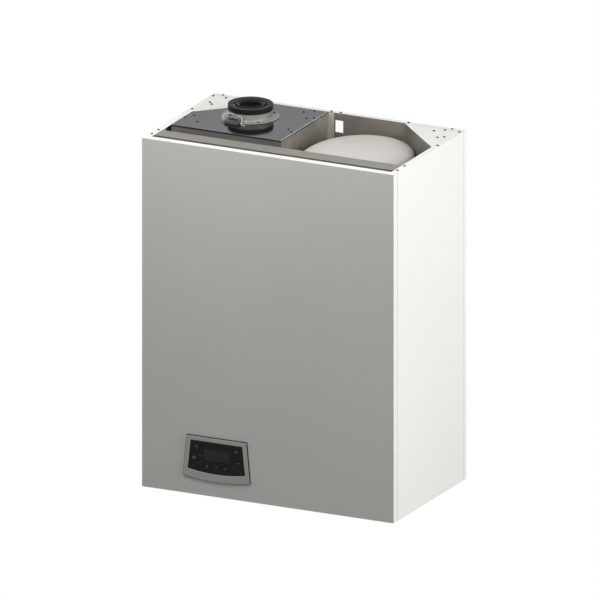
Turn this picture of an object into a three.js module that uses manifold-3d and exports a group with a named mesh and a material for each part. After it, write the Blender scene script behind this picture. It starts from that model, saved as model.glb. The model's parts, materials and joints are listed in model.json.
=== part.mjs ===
// Wall-hung storage combi boiler with a concentric flue socket, its top open.
// Millimetres. +X is to the right, +Y to the wall, +Z up. The origin is the middle of the wall face.
import * as THREE from 'three';
import { mergeVertices } from 'three/addons/utils/BufferGeometryUtils.js';
import Module from 'manifold-3d';

const wasm = await Module();
wasm.setup();

// ---- driving dimensions --------------------------------------------------------------------

const caseWidth = 660;
const caseHeight = 861;
const caseDepth = 388;
const sheet = 1.2;                 // casing sheet
const seat = 0.3;                  // gap between two pieces that are seated on each other
const flangeWidth = 16;            // returns of the side panels
const frontPanelDepth = 20;
const frontPanelGap = 1;
const backPanelDepth = 13.5;
const backLip = 12;
const wallBandWidth = 500;
const wallBandHeight = 60;
const hookWindowX = 4;
const hookWindowWidth = 20;
const hookWindowHeight = 29;
const hookWindowDrop = 18;         // from the top of the case to the window
const cornerLeg = 138.5;           // straight sides of the corner gussets
const gussetDrop = 280;
const railSetback = 33.5;          // from the front face to the top rail
const railWidth = 42.5;
const railFlange = 15;

const airboxRight = -26;
const airboxSetback = 124;         // from the front face to the air box
const airboxBottom = 330;
const airboxFlange = 12;
const dividerFlange = 17.5;
const plateLip = 3;

const flueX = -174.5;
const flueSetback = 140;           // from the front of the air box to the flue's axis
const flueBore = 56;               // inner pipe, inside
const fluePipeWall = 2;
const flueFlangeDiameter = 137;
const flueFlangePlate = 1.8;
const flueCollarDiameter = 106;
const flueCollarBore = 98;
const flueCollarHeight = 18;
const flueRingDiameter = 108;
const flueRingBore = 85;
const flueRingHeight = 14;
const lipSealDiameter = 72;
const lipSealHeight = 12;

const tankAirboxGap = 25;
const tankFrontGap = 44;
const tankBackGap = 18;
const tankGussetGap = 2.3;
const tankTopDrop = 17;            // from the top of the case to the crown
const tankCrown = 32;
const tankBottom = 250;
const tankJacket = 20;
const tankWall = 2;
const tankPortPitch = 80;

const exchangerRadius = 90;
const exchangerLength = 152;
const exchangerSetback = 52;       // from the front of the air box to the exchanger
const exchangerLift = 120;         // from the floor of the air box to the exchanger
const exchangerGap = 4.8;          // between the exchanger and the divider wall
const exchangerRibs = 3;
const flowOffset = 37;             // to the right of the exchanger's axis
const returnOffset = 28;           // to its left
const gasOffset = 62;              // to its right
const gasSetback = 49;             // from the front of the air box
const drainOffset = 108;           // to its left
const fanOffset = 32;              // to its right
const fanSetback = 99;             // from the front of the air box to the fan's axis
const fanRadius = 58;
const fanHeight = 42;
const fanRoomShare = 0.207;        // of the free height, the share that is left below the fan

const controlX = -133.2;
const bezelTopHalf = 78.2;
const bezelBottomHalf = 87.3;
const bezelTop = 145;
const bezelBottom = 46;
const bezelSag = 8;
const bezelProud = 4.5;
const bezelGap = 1;
const bezelInset = 13;             // behind the front face
const fasciaTopHalf = 67.2;
const fasciaBottomHalf = 75;
const fasciaTop = 134.2;
const fasciaBottom = 64;
const fasciaSag = 7;
const keyTravel = 0.8;
const controlHousingWidth = 192;
const housingDepth = 62;

const stubDrop = 28;               // pipe stubs below the case
const waterPipe = 18;
const gasPipe = 18;
const fuelPipe = 12;
const pipeWall = 1;
const stubRowY = -125;
const gasStubX = -20;
const reliefOffset = 60;           // to the right of the gas stub
const reliefSetback = 126;         // from the front face
const pumpZ = 110;
const pumpRadius = 42;
const plateFlange = 21;            // upstand of the bottom plate
const vesselLeftGap = 28;
const vesselRightGap = 30;
const vesselDepth = 84;
const bladeCount = 12;

// ---- places worked out from them -----------------------------------------------------------

const halfWidth = caseWidth / 2;
const frontY = -caseDepth;
const sideFrontY = frontY + frontPanelDepth + frontPanelGap;
const sideBackY = -(backPanelDepth + seat);
const innerHalf = halfWidth - flangeWidth - seat;
const innerWall = halfWidth - sheet;
const topSheetZ = caseHeight - sheet;

const airboxFrontY = frontY + airboxSetback;
const airboxLeft = -innerHalf;
const flueY = airboxFrontY + flueSetback;

const exchangerX = airboxRight - sheet - exchangerGap - exchangerRadius;
const exchangerZ = airboxBottom + exchangerLift + exchangerRadius;
const exchangerTop = exchangerZ + exchangerRadius;
const exchangerFrontY = airboxFrontY + exchangerSetback;
const exchangerBackY = exchangerFrontY + exchangerLength;
const fanX = exchangerX + fanOffset;
const fanY = airboxFrontY + fanSetback;

// The tank fills the right of the case: it is as wide as the gusset across the rear corner allows.
const tankHalfDepth = (caseDepth - tankFrontGap - tankBackGap) / 2;
const tankY = -(tankBackGap + tankHalfDepth);
const tankLeft = airboxRight + tankAirboxGap;
const gussetReach = innerHalf - cornerLeg + sideBackY;
const tankReach = gussetReach - tankGussetGap * Math.SQRT2 - tankLeft - tankY;
const tankHalfWidth = (tankReach ** 2 - tankHalfDepth ** 2) / (2 * tankReach);
const tankX = tankLeft + tankHalfWidth;

// Pipe lines through the floor of the air box: x and y.
const ribPitch = exchangerLength / (exchangerRibs + 1);
const flowLine = [exchangerX + flowOffset, stubRowY];
const returnLine = [exchangerX - returnOffset, stubRowY];
const gasLine = [exchangerX + gasOffset, airboxFrontY + gasSetback];
const drainLine = [exchangerX - drainOffset, exchangerFrontY + ribPitch];

// ---- finishes ------------------------------------------------------------------------------

const finish = (color, roughness, metalness) => (
  new THREE.MeshStandardMaterial({ color, roughness, metalness }));
const finishes = {
  silverPaint: finish(0xbab9b4, 0.4, 0.2),
  whitePaint: finish(0xf2f2ec, 0.45, 0),
  galvanised: finish(0xb4b4b0, 0.4, 0.8),
  darkSteel: finish(0x767b80, 0.25, 0.9),
  aluminium: finish(0xc8c8c6, 0.4, 0.9),
  stainless: finish(0xc4c6c8, 0.3, 0.9),
  foam: finish(0xdcdad2, 0.85, 0),
  blackRubber: finish(0x1e1e1e, 0.6, 0),
  blackPlastic: finish(0x26282a, 0.5, 0),
  greyPlastic: finish(0x8f918f, 0.5, 0),
  glossBlack: finish(0x141414, 0.15, 0),
  darkGlass: finish(0x24282a, 0.1, 0),
  copper: finish(0xb87348, 0.35, 0.9),
  brass: finish(0xb99a55, 0.35, 0.9),
  redPaint: finish(0xa8261c, 0.45, 0),
  redPlastic: finish(0xb02a22, 0.5, 0),
  greenBoard: finish(0x2c6b3f, 0.5, 0),
  whiteCeramic: finish(0xeeeae0, 0.4, 0),
};

// ---- geometry helpers ----------------------------------------------------------------------

// A closed geometry with its shared vertices merged, as a solid for joining and cutting.
function solidOf(geometry) {
  const bare = geometry.clone();
  bare.deleteAttribute('normal');
  bare.deleteAttribute('uv');
  const merged = mergeVertices(bare, 1e-4);
  const vertProperties = new Float32Array(merged.attributes.position.array);
  const triVerts = new Uint32Array(merged.index.array);
  const solid = new wasm.Manifold(new wasm.Mesh({ numProp: 3, vertProperties, triVerts }));
  if (solid.volume() >= 0) return solid;
  for (let i = 0; i < triVerts.length; i += 3) {
    [triVerts[i + 1], triVerts[i + 2]] = [triVerts[i + 2], triVerts[i + 1]];
  }
  return new wasm.Manifold(new wasm.Mesh({ numProp: 3, vertProperties, triVerts }));
}

function geometryOf(solid) {
  const mesh = solid.getMesh();
  const geometry = new THREE.BufferGeometry();
  geometry.setAttribute('position', new THREE.BufferAttribute(new Float32Array(mesh.vertProperties), 3));
  geometry.setIndex(new THREE.BufferAttribute(new Uint32Array(mesh.triVerts), 1));
  geometry.computeVertexNormals();
  return geometry;
}

const joined = (...solids) => solids.reduce((whole, next) => whole.add(next));
const cut = (solid, ...tools) => tools.reduce((left, tool) => left.subtract(tool), solid);

function block(x0, x1, y0, y1, z0, z1) {
  const geometry = new THREE.BoxGeometry(x1 - x0, y1 - y0, z1 - z0);
  geometry.translate((x0 + x1) / 2, (y0 + y1) / 2, (z0 + z1) / 2);
  return solidOf(geometry);
}

const planShape = (points) => new THREE.Shape(points.map(([x, y]) => new THREE.Vector2(x, y)));

function extruded(shape, depth, curveSegments = 12) {
  return new THREE.ExtrudeGeometry(shape, { depth, bevelEnabled: false, curveSegments });
}

// A plan outline (x, y) raised from z0 to z1.
function risen(shape, z0, z1, curveSegments) {
  const geometry = extruded(shape, z1 - z0, curveSegments);
  geometry.translate(0, 0, z0);
  return solidOf(geometry);
}

// A front outline (x, z) that runs from y0 back to y1.
function facing(shape, y0, y1, curveSegments) {
  const geometry = extruded(shape, y1 - y0, curveSegments);
  geometry.rotateX(Math.PI / 2);
  geometry.translate(0, y1, 0);
  return solidOf(geometry);
}

// A profile of [radius, height] pairs turned about an upright axis through (x, y).
function turned(profile, x, y, segments = 16) {
  const geometry = new THREE.LatheGeometry(profile.map(([r, h]) => new THREE.Vector2(r, h)), segments);
  geometry.rotateX(Math.PI / 2);
  geometry.translate(x, y, 0);
  return solidOf(geometry);
}

// The same about an axis along Y through (x, z); the heights are y.
function turnedAlongY(profile, x, z, segments = 16) {
  const geometry = new THREE.LatheGeometry(profile.map(([r, h]) => new THREE.Vector2(r, h)), segments);
  geometry.translate(x, 0, z);
  return solidOf(geometry);
}

// The same about an axis along X through (y, z); the heights are x.
function turnedAlongX(profile, y, z, segments = 12) {
  const geometry = new THREE.LatheGeometry(profile.map(([r, h]) => new THREE.Vector2(r, h)), segments);
  geometry.rotateZ(-Math.PI / 2);
  geometry.translate(0, y, z);
  return solidOf(geometry);
}

const rod = (radius, z0, z1) => [[0, z0], [radius, z0], [radius, z1], [0, z1]];
const ring = (inner, outer, z0, z1) => [[inner, z0], [outer, z0], [outer, z1], [inner, z1], [inner, z0]];

// A convex outline, anticlockwise, moved in by one distance per side.
function inset(points, distance) {
  const count = points.length;
  const lines = points.map(([x0, y0], i) => {
    const [x1, y1] = points[(i + 1) % count];
    const length = Math.hypot(x1 - x0, y1 - y0);
    const nx = -(y1 - y0) / length;
    const ny = (x1 - x0) / length;
    return { nx, ny, c: nx * x0 + ny * y0 + distance };
  });
  return points.map((_, i) => {
    const a = lines[(i + count - 1) % count];
    const b = lines[i];
    const det = a.nx * b.ny - a.ny * b.nx;
    return [(a.c * b.ny - a.ny * b.c) / det, (a.nx * b.c - a.c * b.nx) / det];
  });
}

// A route for a section: stations along straight runs, with a few more round each bend.
class Route extends THREE.Curve {
  constructor(corners, bend) {
    super();
    const bendSteps = 3;
    this.stations = [];
    const station = (point, tangent) => this.stations.push({ point, tangent: tangent.clone().normalize() });
    station(corners[0], corners[1].clone().sub(corners[0]));
    for (let i = 1; i < corners.length - 1; i++) {
      const back = corners[i - 1].clone().sub(corners[i]).normalize();
      const on = corners[i + 1].clone().sub(corners[i]).normalize();
      const start = corners[i].clone().addScaledVector(back, bend);
      const end = corners[i].clone().addScaledVector(on, bend);
      const turn = new THREE.QuadraticBezierCurve3(start, corners[i], end);
      for (let k = 0; k <= bendSteps; k++) {
        station(turn.getPoint(k / bendSteps), turn.getTangent(k / bendSteps));
      }
    }
    station(corners.at(-1), corners.at(-1).clone().sub(corners.at(-2)));
  }

  at(u) {
    return this.stations[Math.round(u * (this.stations.length - 1))];
  }

  getPointAt(u) {
    return this.at(u).point.clone();
  }

  getTangentAt(u) {
    return this.at(u).tangent.clone();
  }
}

// A hollow tube of round section along straight runs joined by bends.
function pipe(points, diameter, wall, bend = diameter * 1.5, sides = 8) {
  const route = new Route(points.map((p) => new THREE.Vector3(...p)), bend);
  const section = new THREE.Shape();
  section.absarc(0, 0, diameter / 2, 0, Math.PI * 2);
  const bore = new THREE.Path();
  bore.absarc(0, 0, diameter / 2 - wall, 0, Math.PI * 2);
  section.holes.push(bore);
  const steps = route.stations.length - 1;
  const options = { steps, extrudePath: route, curveSegments: sides / 2, bevelEnabled: false };
  return solidOf(new THREE.ExtrudeGeometry(section, options));
}

// ---- assembly ------------------------------------------------------------------------------

const boiler = new THREE.Group();
boiler.name = 'combi_boiler';
boiler.position.z = -caseHeight / 2;

function piece(name, solid, material) {
  const mesh = new THREE.Mesh(geometryOf(solid), material);
  mesh.name = name;
  boiler.add(mesh);
}

// ---- casing --------------------------------------------------------------------------------

function backPanel() {
  const w = halfWidth;
  const inside = w - backLip;
  const face = -backPanelDepth;
  const bandHalf = wallBandWidth / 2;
  const bandBottom = (caseHeight - wallBandHeight) / 2;
  const bandTop = bandBottom + wallBandHeight;
  const tray = cut(
    block(-w, w, face, 0, 0, caseHeight),
    block(-w + sheet, w - sheet, face + sheet, -sheet, sheet, topSheetZ),
    block(-inside, inside, -sheet * 2, sheet, backLip, caseHeight - backLip),
  );
  const banded = cut(
    joined(tray, block(-bandHalf, bandHalf, face, 0, bandBottom, bandTop)),
    block(-bandHalf + sheet, bandHalf - sheet, face - sheet, -sheet, bandBottom + sheet, bandTop - sheet),
  );
  const windowTop = caseHeight - hookWindowDrop;
  const windowLeft = hookWindowX - hookWindowWidth / 2;
  return cut(
    banded,
    block(windowLeft, windowLeft + hookWindowWidth, face - sheet, face + sheet * 2,
      windowTop - hookWindowHeight, windowTop),
  );
}

// A tray of sheet metal with a return along each edge; side is 1 for the right and -1 for the left.
function sidePanel(side) {
  const between = (a, b) => [Math.min(side * a, side * b), Math.max(side * a, side * b)];
  const root = halfWidth - flangeWidth;
  return cut(
    block(...between(root, halfWidth), sideFrontY, sideBackY, 0, caseHeight),
    block(...between(root - sheet, innerWall), sideFrontY + sheet, sideBackY - sheet, sheet, topSheetZ),
  );
}

// A triangular corner piece: its top lies level with the case, and its long wall closes the corner.
function cornerGusset(side) {
  const corner = [side * innerHalf, sideBackY];
  const along = [side * (innerHalf - cornerLeg), sideBackY];
  const forward = [side * innerHalf, sideBackY - cornerLeg];
  const outline = side > 0 ? [corner, along, forward] : [corner, forward, along];
  return cut(
    risen(planShape(outline), caseHeight - gussetDrop, caseHeight),
    risen(planShape(inset(outline, sheet)), caseHeight - gussetDrop - sheet, topSheetZ),
  );
}

function frontTopRail() {
  const railFrontY = frontY + railSetback;
  const railBackY = railFrontY + railWidth;
  return cut(
    block(-innerHalf, innerHalf, railFrontY, railBackY, caseHeight - railFlange, caseHeight),
    block(-innerHalf - sheet, innerHalf + sheet, railFrontY + sheet, railBackY - sheet,
      caseHeight - railFlange - sheet, topSheetZ),
  );
}

// A trapezoid with an arched lower edge, about the middle of the control unit.
function controlOutline(topHalf, bottomHalf, top, bottom, sag, grow = 0) {
  const shape = new THREE.Shape();
  shape.moveTo(controlX - topHalf - grow, top + grow);
  shape.lineTo(controlX - bottomHalf - grow, bottom - grow);
  shape.quadraticCurveTo(controlX, bottom - 2 * sag - grow, controlX + bottomHalf + grow, bottom - grow);
  shape.lineTo(controlX + topHalf + grow, top + grow);
  shape.closePath();
  return shape;
}

const bezelOutline = (grow) => (
  controlOutline(bezelTopHalf, bezelBottomHalf, bezelTop, bezelBottom, bezelSag, grow));
const fasciaOutline = (grow) => (
  controlOutline(fasciaTopHalf, fasciaBottomHalf, fasciaTop, fasciaBottom, fasciaSag, grow));

function frontPanel() {
  const backEdge = frontY + frontPanelDepth;
  return cut(
    block(-halfWidth, halfWidth, frontY, backEdge, 0, caseHeight),
    block(-innerWall, innerWall, frontY + sheet, backEdge + sheet, sheet, topSheetZ),
    facing(bezelOutline(bezelGap), frontY - sheet, frontY + 2 * sheet),
  );
}

piece('back_panel', backPanel(), finishes.galvanised);
piece('left_side_panel', sidePanel(-1), finishes.whitePaint);
piece('right_side_panel', sidePanel(1), finishes.whitePaint);
piece('rear_left_gusset', cornerGusset(-1), finishes.whitePaint);
piece('rear_right_gusset', cornerGusset(1), finishes.whitePaint);
piece('front_top_rail', frontTopRail(), finishes.galvanised);
piece('front_panel', frontPanel(), finishes.silverPaint);


// ---- air box -------------------------------------------------------------------------------

const airboxTop = topSheetZ - seat;
const airboxLeg = cornerLeg + seat * Math.SQRT2;

// The plan of the air box between its front and the wall side, anticlockwise.
function airboxPlan(front, right) {
  return [
    [airboxLeft, front],
    [right, front],
    [right, sideBackY],
    [airboxLeft + airboxLeg, sideBackY],
    [airboxLeft, sideBackY - airboxLeg],
  ];
}

// Pieces about the flue's axis share one count of sides, so they nest.
const flueSides = 32;
const flueHole = (radius, z0, z1) => turned(rod(radius, z0, z1), flueX, flueY, flueSides);

function airboxShell() {
  const plan = airboxPlan(airboxFrontY + sheet + seat, airboxRight);
  const front = plan[0][1];
  const passages = [flowLine, returnLine, gasLine, drainLine].map(
    ([x, y]) => turned(rod(waterPipe / 2 + 1, airboxBottom - sheet, airboxBottom + 2 * sheet), x, y));
  const flange = block(airboxRight - sheet, airboxRight + dividerFlange, sideBackY - sheet, sideBackY,
    airboxBottom, airboxTop);
  return cut(
    joined(risen(planShape(plan), airboxBottom, airboxTop), flange),
    risen(planShape(inset(plan, sheet)), airboxBottom + sheet, airboxTop - sheet),
    risen(planShape(inset(plan, airboxFlange)), airboxTop - 2 * sheet, airboxTop + sheet),
    block(airboxLeft + airboxFlange, airboxRight - airboxFlange, front - sheet, front + 2 * sheet,
      airboxBottom + airboxFlange, airboxTop - airboxFlange),
    ...passages,
  );
}

function airboxCover() {
  const border = 34;
  const press = 4;
  const front = airboxFrontY;
  const left = airboxLeft + border;
  const right = airboxRight - border;
  const bottom = airboxBottom + border;
  const top = airboxTop - border;
  return cut(
    joined(
      block(airboxLeft, airboxRight, front, front + sheet, airboxBottom, airboxTop),
      block(left, right, front, front + sheet + press, bottom, top),
    ),
    block(left + sheet, right - sheet, front - sheet, front + press, bottom + sheet, top - sheet),
  );
}

// The plate covers the air box and is turned down along its front and right edges.
function airboxTopPlate() {
  const front = airboxFrontY - seat - sheet;
  const right = airboxRight + seat + sheet;
  const lipBottom = caseHeight - plateLip;
  return cut(
    joined(
      risen(planShape(airboxPlan(front, right)), topSheetZ, caseHeight),
      block(airboxLeft, right, front, front + sheet, lipBottom, caseHeight),
      block(right - sheet, right, front, sideBackY - sheet - seat, lipBottom, caseHeight),
    ),
    flueHole(flueCollarBore / 2, topSheetZ - sheet, caseHeight + sheet),
  );
}

piece('airbox_shell', airboxShell(), finishes.galvanised);
piece('airbox_front_cover', airboxCover(), finishes.galvanised);
piece('airbox_top_plate', airboxTopPlate(), finishes.darkSteel);

// ---- flue socket ---------------------------------------------------------------------------

const flueBase = caseHeight + seat;
const collarTop = flueBase + flueCollarHeight;
const ringBase = collarTop + seat;
const fluePipeOuter = flueBore / 2 + fluePipeWall;
const fluePipeTop = ringBase + flueRingHeight / 2;
const pipeSides = 24;

function flueFlange() {
  const inner = flueCollarBore / 2;
  const outer = flueCollarDiameter / 2;
  const edge = flueFlangeDiameter / 2;
  const fillet = 3;
  const plateTopZ = flueBase + flueFlangePlate;
  return turned([
    [inner, flueBase], [edge, flueBase], [edge, plateTopZ], [outer + fillet, plateTopZ],
    [outer, plateTopZ + fillet], [outer, collarTop], [inner, collarTop], [inner, flueBase],
  ], flueX, flueY, flueSides);
}

function flueRing() {
  const inner = flueRingBore / 2;
  const outer = flueRingDiameter / 2;
  const top = ringBase + flueRingHeight;
  const edge = 2;
  return turned([
    [inner, ringBase], [outer, ringBase], [outer, top - edge], [outer - edge, top],
    [inner, top], [inner, ringBase],
  ], flueX, flueY, flueSides);
}

// The lip seal grips the end of the inner pipe and guides the flue that is pushed into it.
function lipSeal() {
  const outer = lipSealDiameter / 2;
  const grip = fluePipeOuter + seat;
  const top = ringBase + lipSealHeight;
  const mouth = flueBore / 2;
  const step = fluePipeTop + seat;
  const edge = 2;
  return turned([
    [grip, ringBase], [outer, ringBase], [outer, top], [mouth + edge, top],
    [mouth, top - edge], [mouth, step], [grip, step], [grip, ringBase],
  ], flueX, flueY, pipeSides);
}

// The block with the two test points stands left of the collar's front, partly on the flange.
const blockWidth = 38;
const blockLeft = flueX - 32.5;
const blockFrontY = flueY - 77.5;
const blockHeight = 7;
const blockCorner = 5;
const capPitch = 12.5;
const capRadius = 5;
const capHeight = 3;
const capPlug = 4.5;
const capWall = 2;
const capY = flueY - 63.5;
const capMiddle = blockLeft + blockWidth / 2 - 0.3;
const capPlaces = [capMiddle - capPitch / 2, capMiddle + capPitch / 2];

function testPointBlock() {
  const left = blockLeft;
  const right = blockLeft + blockWidth;
  const front = blockFrontY;
  const top = flueBase + blockHeight;
  const shape = new THREE.Shape();
  shape.moveTo(left, flueY);
  shape.lineTo(left, front + blockCorner);
  shape.quadraticCurveTo(left, front, left + blockCorner, front);
  shape.lineTo(right - blockCorner, front);
  shape.quadraticCurveTo(right, front, right, front + blockCorner);
  shape.lineTo(right, flueY);
  shape.closePath();
  const sockets = capPlaces.map(
    (x) => turned(rod(capRadius - capWall, top - capPlug - seat, top + 1), x, capY, 12));
  return cut(
    risen(shape, flueBase, top, 3),
    flueHole(flueFlangeDiameter / 2 + seat, flueBase - 1, flueBase + flueFlangePlate + seat),
    flueHole(flueCollarDiameter / 2 + 3 + seat, flueBase - 1, top + 1),
    ...sockets,
  );
}

function testCap(x) {
  const top = flueBase + blockHeight + seat;
  const stem = capRadius - capWall - seat;
  const crownZ = top + capHeight;
  const dimple = 0.8;
  return turned([
    [0, top - capPlug], [stem, top - capPlug], [stem, top], [capRadius, top], [capRadius, crownZ - dimple],
    [capRadius - dimple, crownZ], [stem, crownZ], [stem - dimple, crownZ - dimple], [0, crownZ - dimple],
  ], x, capY, 12);
}

piece('flue_flange', flueFlange(), finishes.aluminium);
piece('flue_outer_ring', flueRing(), finishes.blackRubber);
piece('flue_lip_seal', lipSeal(), finishes.blackRubber);
piece('flue_test_block', testPointBlock(), finishes.blackPlastic);
piece('test_cap_left', testCap(capPlaces[0]), finishes.blackPlastic);
piece('test_cap_right', testCap(capPlaces[1]), finishes.blackPlastic);


// ---- tank ----------------------------------------------------------------------------------

// An oval vessel: a domed profile turned about its axis and stretched along Y.
function oval(halfWidthAt, halfDepthAt, profile, segments) {
  const points = profile.map(([share, z]) => new THREE.Vector2(share * halfWidthAt, z));
  const geometry = new THREE.LatheGeometry(points, segments);
  geometry.rotateX(Math.PI / 2);
  geometry.scale(1, halfDepthAt / halfWidthAt, 1);
  geometry.translate(tankX, tankY, 0);
  return solidOf(geometry);
}

// Points of a crown from its rim to its middle, as [share of the radius, height].
function crown(rimZ, rise, steps) {
  return Array.from({ length: steps + 1 }, (_, i) => {
    const turn = (i / steps) * (Math.PI / 2);
    return [Math.cos(turn), rimZ + rise * Math.sin(turn)];
  });
}

const tankTop = caseHeight - tankTopDrop;
const tankRim = tankTop - tankCrown;
const vesselHalfWidth = tankHalfWidth - tankJacket;
const vesselHalfDepth = tankHalfDepth - tankJacket;
const vesselBottom = tankBottom + tankJacket;
const vesselRim = tankRim - tankJacket / 2;
const coldPort = [tankX - tankPortPitch / 2, tankY];
const hotPort = [tankX + tankPortPitch / 2, tankY];
const portRadius = 9;
const portDrop = 12;               // from the foot of the tank to the ends of its ports

const portHoles = (radius, z0, z1) => (
  [coldPort, hotPort].map(([x, y]) => turned(rod(radius, z0, z1), x, y)));

// The foam jacket: a flat foot with a rounded edge, upright walls and a shallow crown.
function tankJacketSolid() {
  const edge = 0.06;
  const outside = [
    [0, tankBottom], [1 - edge, tankBottom], [1, tankBottom + tankJacket / 2],
    ...crown(tankRim, tankCrown, 6),
  ];
  const hollow = [
    [0, vesselBottom - seat], [1, vesselBottom - seat], ...crown(vesselRim, tankCrown + seat, 3),
  ];
  return cut(
    oval(tankHalfWidth, tankHalfDepth, outside, 28),
    oval(vesselHalfWidth + seat, vesselHalfDepth + seat, hollow, 16),
    ...portHoles(portRadius + seat, tankBottom - 1, vesselBottom + 1),
  );
}

function tankVessel() {
  const outside = [[0, vesselBottom], [1, vesselBottom], ...crown(vesselRim, tankCrown, 3)];
  const hollow = [
    [0, vesselBottom + tankWall], [1, vesselBottom + tankWall],
    ...crown(vesselRim, tankCrown - tankWall, 3),
  ];
  const stubBottom = tankBottom - portDrop;
  return cut(
    joined(
      oval(vesselHalfWidth, vesselHalfDepth, outside, 16),
      ...portHoles(portRadius, stubBottom, vesselBottom + 1),
    ),
    oval(vesselHalfWidth - tankWall, vesselHalfDepth - tankWall, hollow, 16),
    ...portHoles(portRadius - tankWall, stubBottom - 1, vesselBottom + 2 * tankWall),
  );
}

const shelfLeft = tankLeft - 7;
const shelfTop = tankBottom - seat;
const shelfFlange = 25;
const shelfSetback = 14;           // behind the front edges of the side panels

// The shelf that carries the tank: a tray turned down along its edges, with two port holes.
function tankShelf() {
  const right = innerWall - seat;
  const front = sideFrontY + shelfSetback;
  const back = sideBackY - sheet - seat;
  const bottom = shelfTop - shelfFlange;
  const tray = cut(
    joined(
      block(shelfLeft, right, front, back, bottom, shelfTop),
      block(shelfLeft, innerHalf, back - 1, sideBackY, bottom, shelfTop),
    ),
    block(shelfLeft + sheet, right - sheet, front + sheet, back - sheet, bottom - 1, shelfTop - sheet),
    block(shelfLeft + sheet, innerHalf - sheet, back - sheet - 1, sideBackY - sheet,
      bottom - 1, shelfTop - sheet),
  );
  return cut(tray, ...portHoles(portRadius + 1, shelfTop - 2 * sheet, shelfTop + 1));
}

piece('tank_jacket', tankJacketSolid(), finishes.foam);
piece('tank_vessel', tankVessel(), finishes.stainless);
piece('tank_shelf', tankShelf(), finishes.galvanised);

// ---- burner and heat exchanger -------------------------------------------------------------

const casingWall = 3;
const doorThickness = 12;
const doorFrontY = exchangerFrontY - seat - doorThickness;
const burnerRadius = 32;
const burnerWall = 3;
const burnerLength = 105;
const burnerThroat = burnerRadius - burnerWall - 1;
const electrodeX = exchangerX + 58;
const electrodeRadius = 5;
const exhaustRadius = fluePipeOuter;
const outletRise = 6;              // of the exhaust outlet above the barrel

// The exhaust rises at the left rear of the exchanger and runs up into the flue socket.
function exhaustColumn(radius, bottom, top) {
  return turned(rod(radius, bottom, top), flueX, flueY, pipeSides);
}

// A ribbed barrel closed at the wall side, with the exhaust outlet on top and four lugs to the back wall.
function exchangerBarrel() {
  const [ribFoot, ribTip] = [4, 2];
  const valley = exchangerRadius - ribFoot;
  const inner = valley - casingWall;
  const outline = [
    [0, exchangerBackY], [0, exchangerBackY - casingWall], [inner, exchangerBackY - casingWall],
    [inner, exchangerFrontY], [exchangerRadius, exchangerFrontY],
    [exchangerRadius, exchangerFrontY + 2 * ribFoot],
  ];
  for (let i = 1; i <= exchangerRibs; i++) {
    const middle = exchangerFrontY + i * ribPitch;
    outline.push([valley, middle - ribFoot], [exchangerRadius, middle - ribTip]);
    outline.push([exchangerRadius, middle + ribTip], [valley, middle + ribFoot]);
  }
  outline.push([valley, exchangerBackY], [0, exchangerBackY]);
  const lugOffset = 40;
  const lugRadius = 7;
  const lugBack = sideBackY - sheet - seat;
  const corners = [[-1, -1], [-1, 1], [1, -1], [1, 1]];
  const lugs = corners.map(([sx, sz]) => turnedAlongY(rod(lugRadius, exchangerBackY - casingWall, lugBack),
    exchangerX + sx * lugOffset, exchangerZ + sz * lugOffset, 8));
  const outlet = cut(exhaustColumn(exhaustRadius + casingWall, exchangerZ, exchangerTop + outletRise),
    turnedAlongY(rod(inner, exchangerFrontY, exchangerBackY), exchangerX, exchangerZ));
  return cut(
    joined(turnedAlongY(outline, exchangerX, exchangerZ), outlet, ...lugs),
    exhaustColumn(flueBore / 2, exchangerZ, exchangerTop + 2 * outletRise),
  );
}

// The exhaust duct, with a collar at its foot and a coupling below the flue socket.
function exhaustDuct() {
  const bottom = exchangerTop + outletRise + seat;
  const collarWall = 4;
  const collarHeight = 8;
  const couplingWall = 3;
  const couplingHeight = 14;
  const coupling = caseHeight - 5 * couplingHeight;
  const sleeve = (wall, z0, height) => (
    turned(ring(exhaustRadius - 1, exhaustRadius + wall, z0, z0 + height), flueX, flueY, pipeSides));
  return cut(
    joined(exhaustColumn(exhaustRadius, bottom, fluePipeTop),
      sleeve(collarWall, bottom, collarHeight), sleeve(couplingWall, coupling, couplingHeight)),
    exhaustColumn(flueBore / 2, bottom - 1, fluePipeTop + 1),
  );
}

// The door that carries the burner, held by a ring of nuts; one is left out where the duct passes.
function burnerDoor() {
  const edge = 3;
  const nutRadius = 6;
  const nutHeight = 5;
  const nutCircle = exchangerRadius - 8;
  const plate = turnedAlongY([
    [0, doorFrontY], [exchangerRadius - edge, doorFrontY], [exchangerRadius, doorFrontY + edge],
    [exchangerRadius, exchangerFrontY - seat], [0, exchangerFrontY - seat],
  ], exchangerX, exchangerZ);
  const nuts = [-90, -30, 30, 150, 210].map((degrees) => {
    const angle = THREE.MathUtils.degToRad(degrees);
    return turnedAlongY(rod(nutRadius, doorFrontY - nutHeight, doorFrontY + 1),
      exchangerX + nutCircle * Math.cos(angle), exchangerZ + nutCircle * Math.sin(angle), 6);
  });
  const through = (radius, x, sides) => (
    turnedAlongY(rod(radius, doorFrontY - 1, exchangerFrontY + 1), x, exchangerZ, sides));
  return cut(joined(plate, ...nuts), through(burnerThroat, exchangerX, 16),
    through(electrodeRadius + seat, electrodeX, 10));
}

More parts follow.
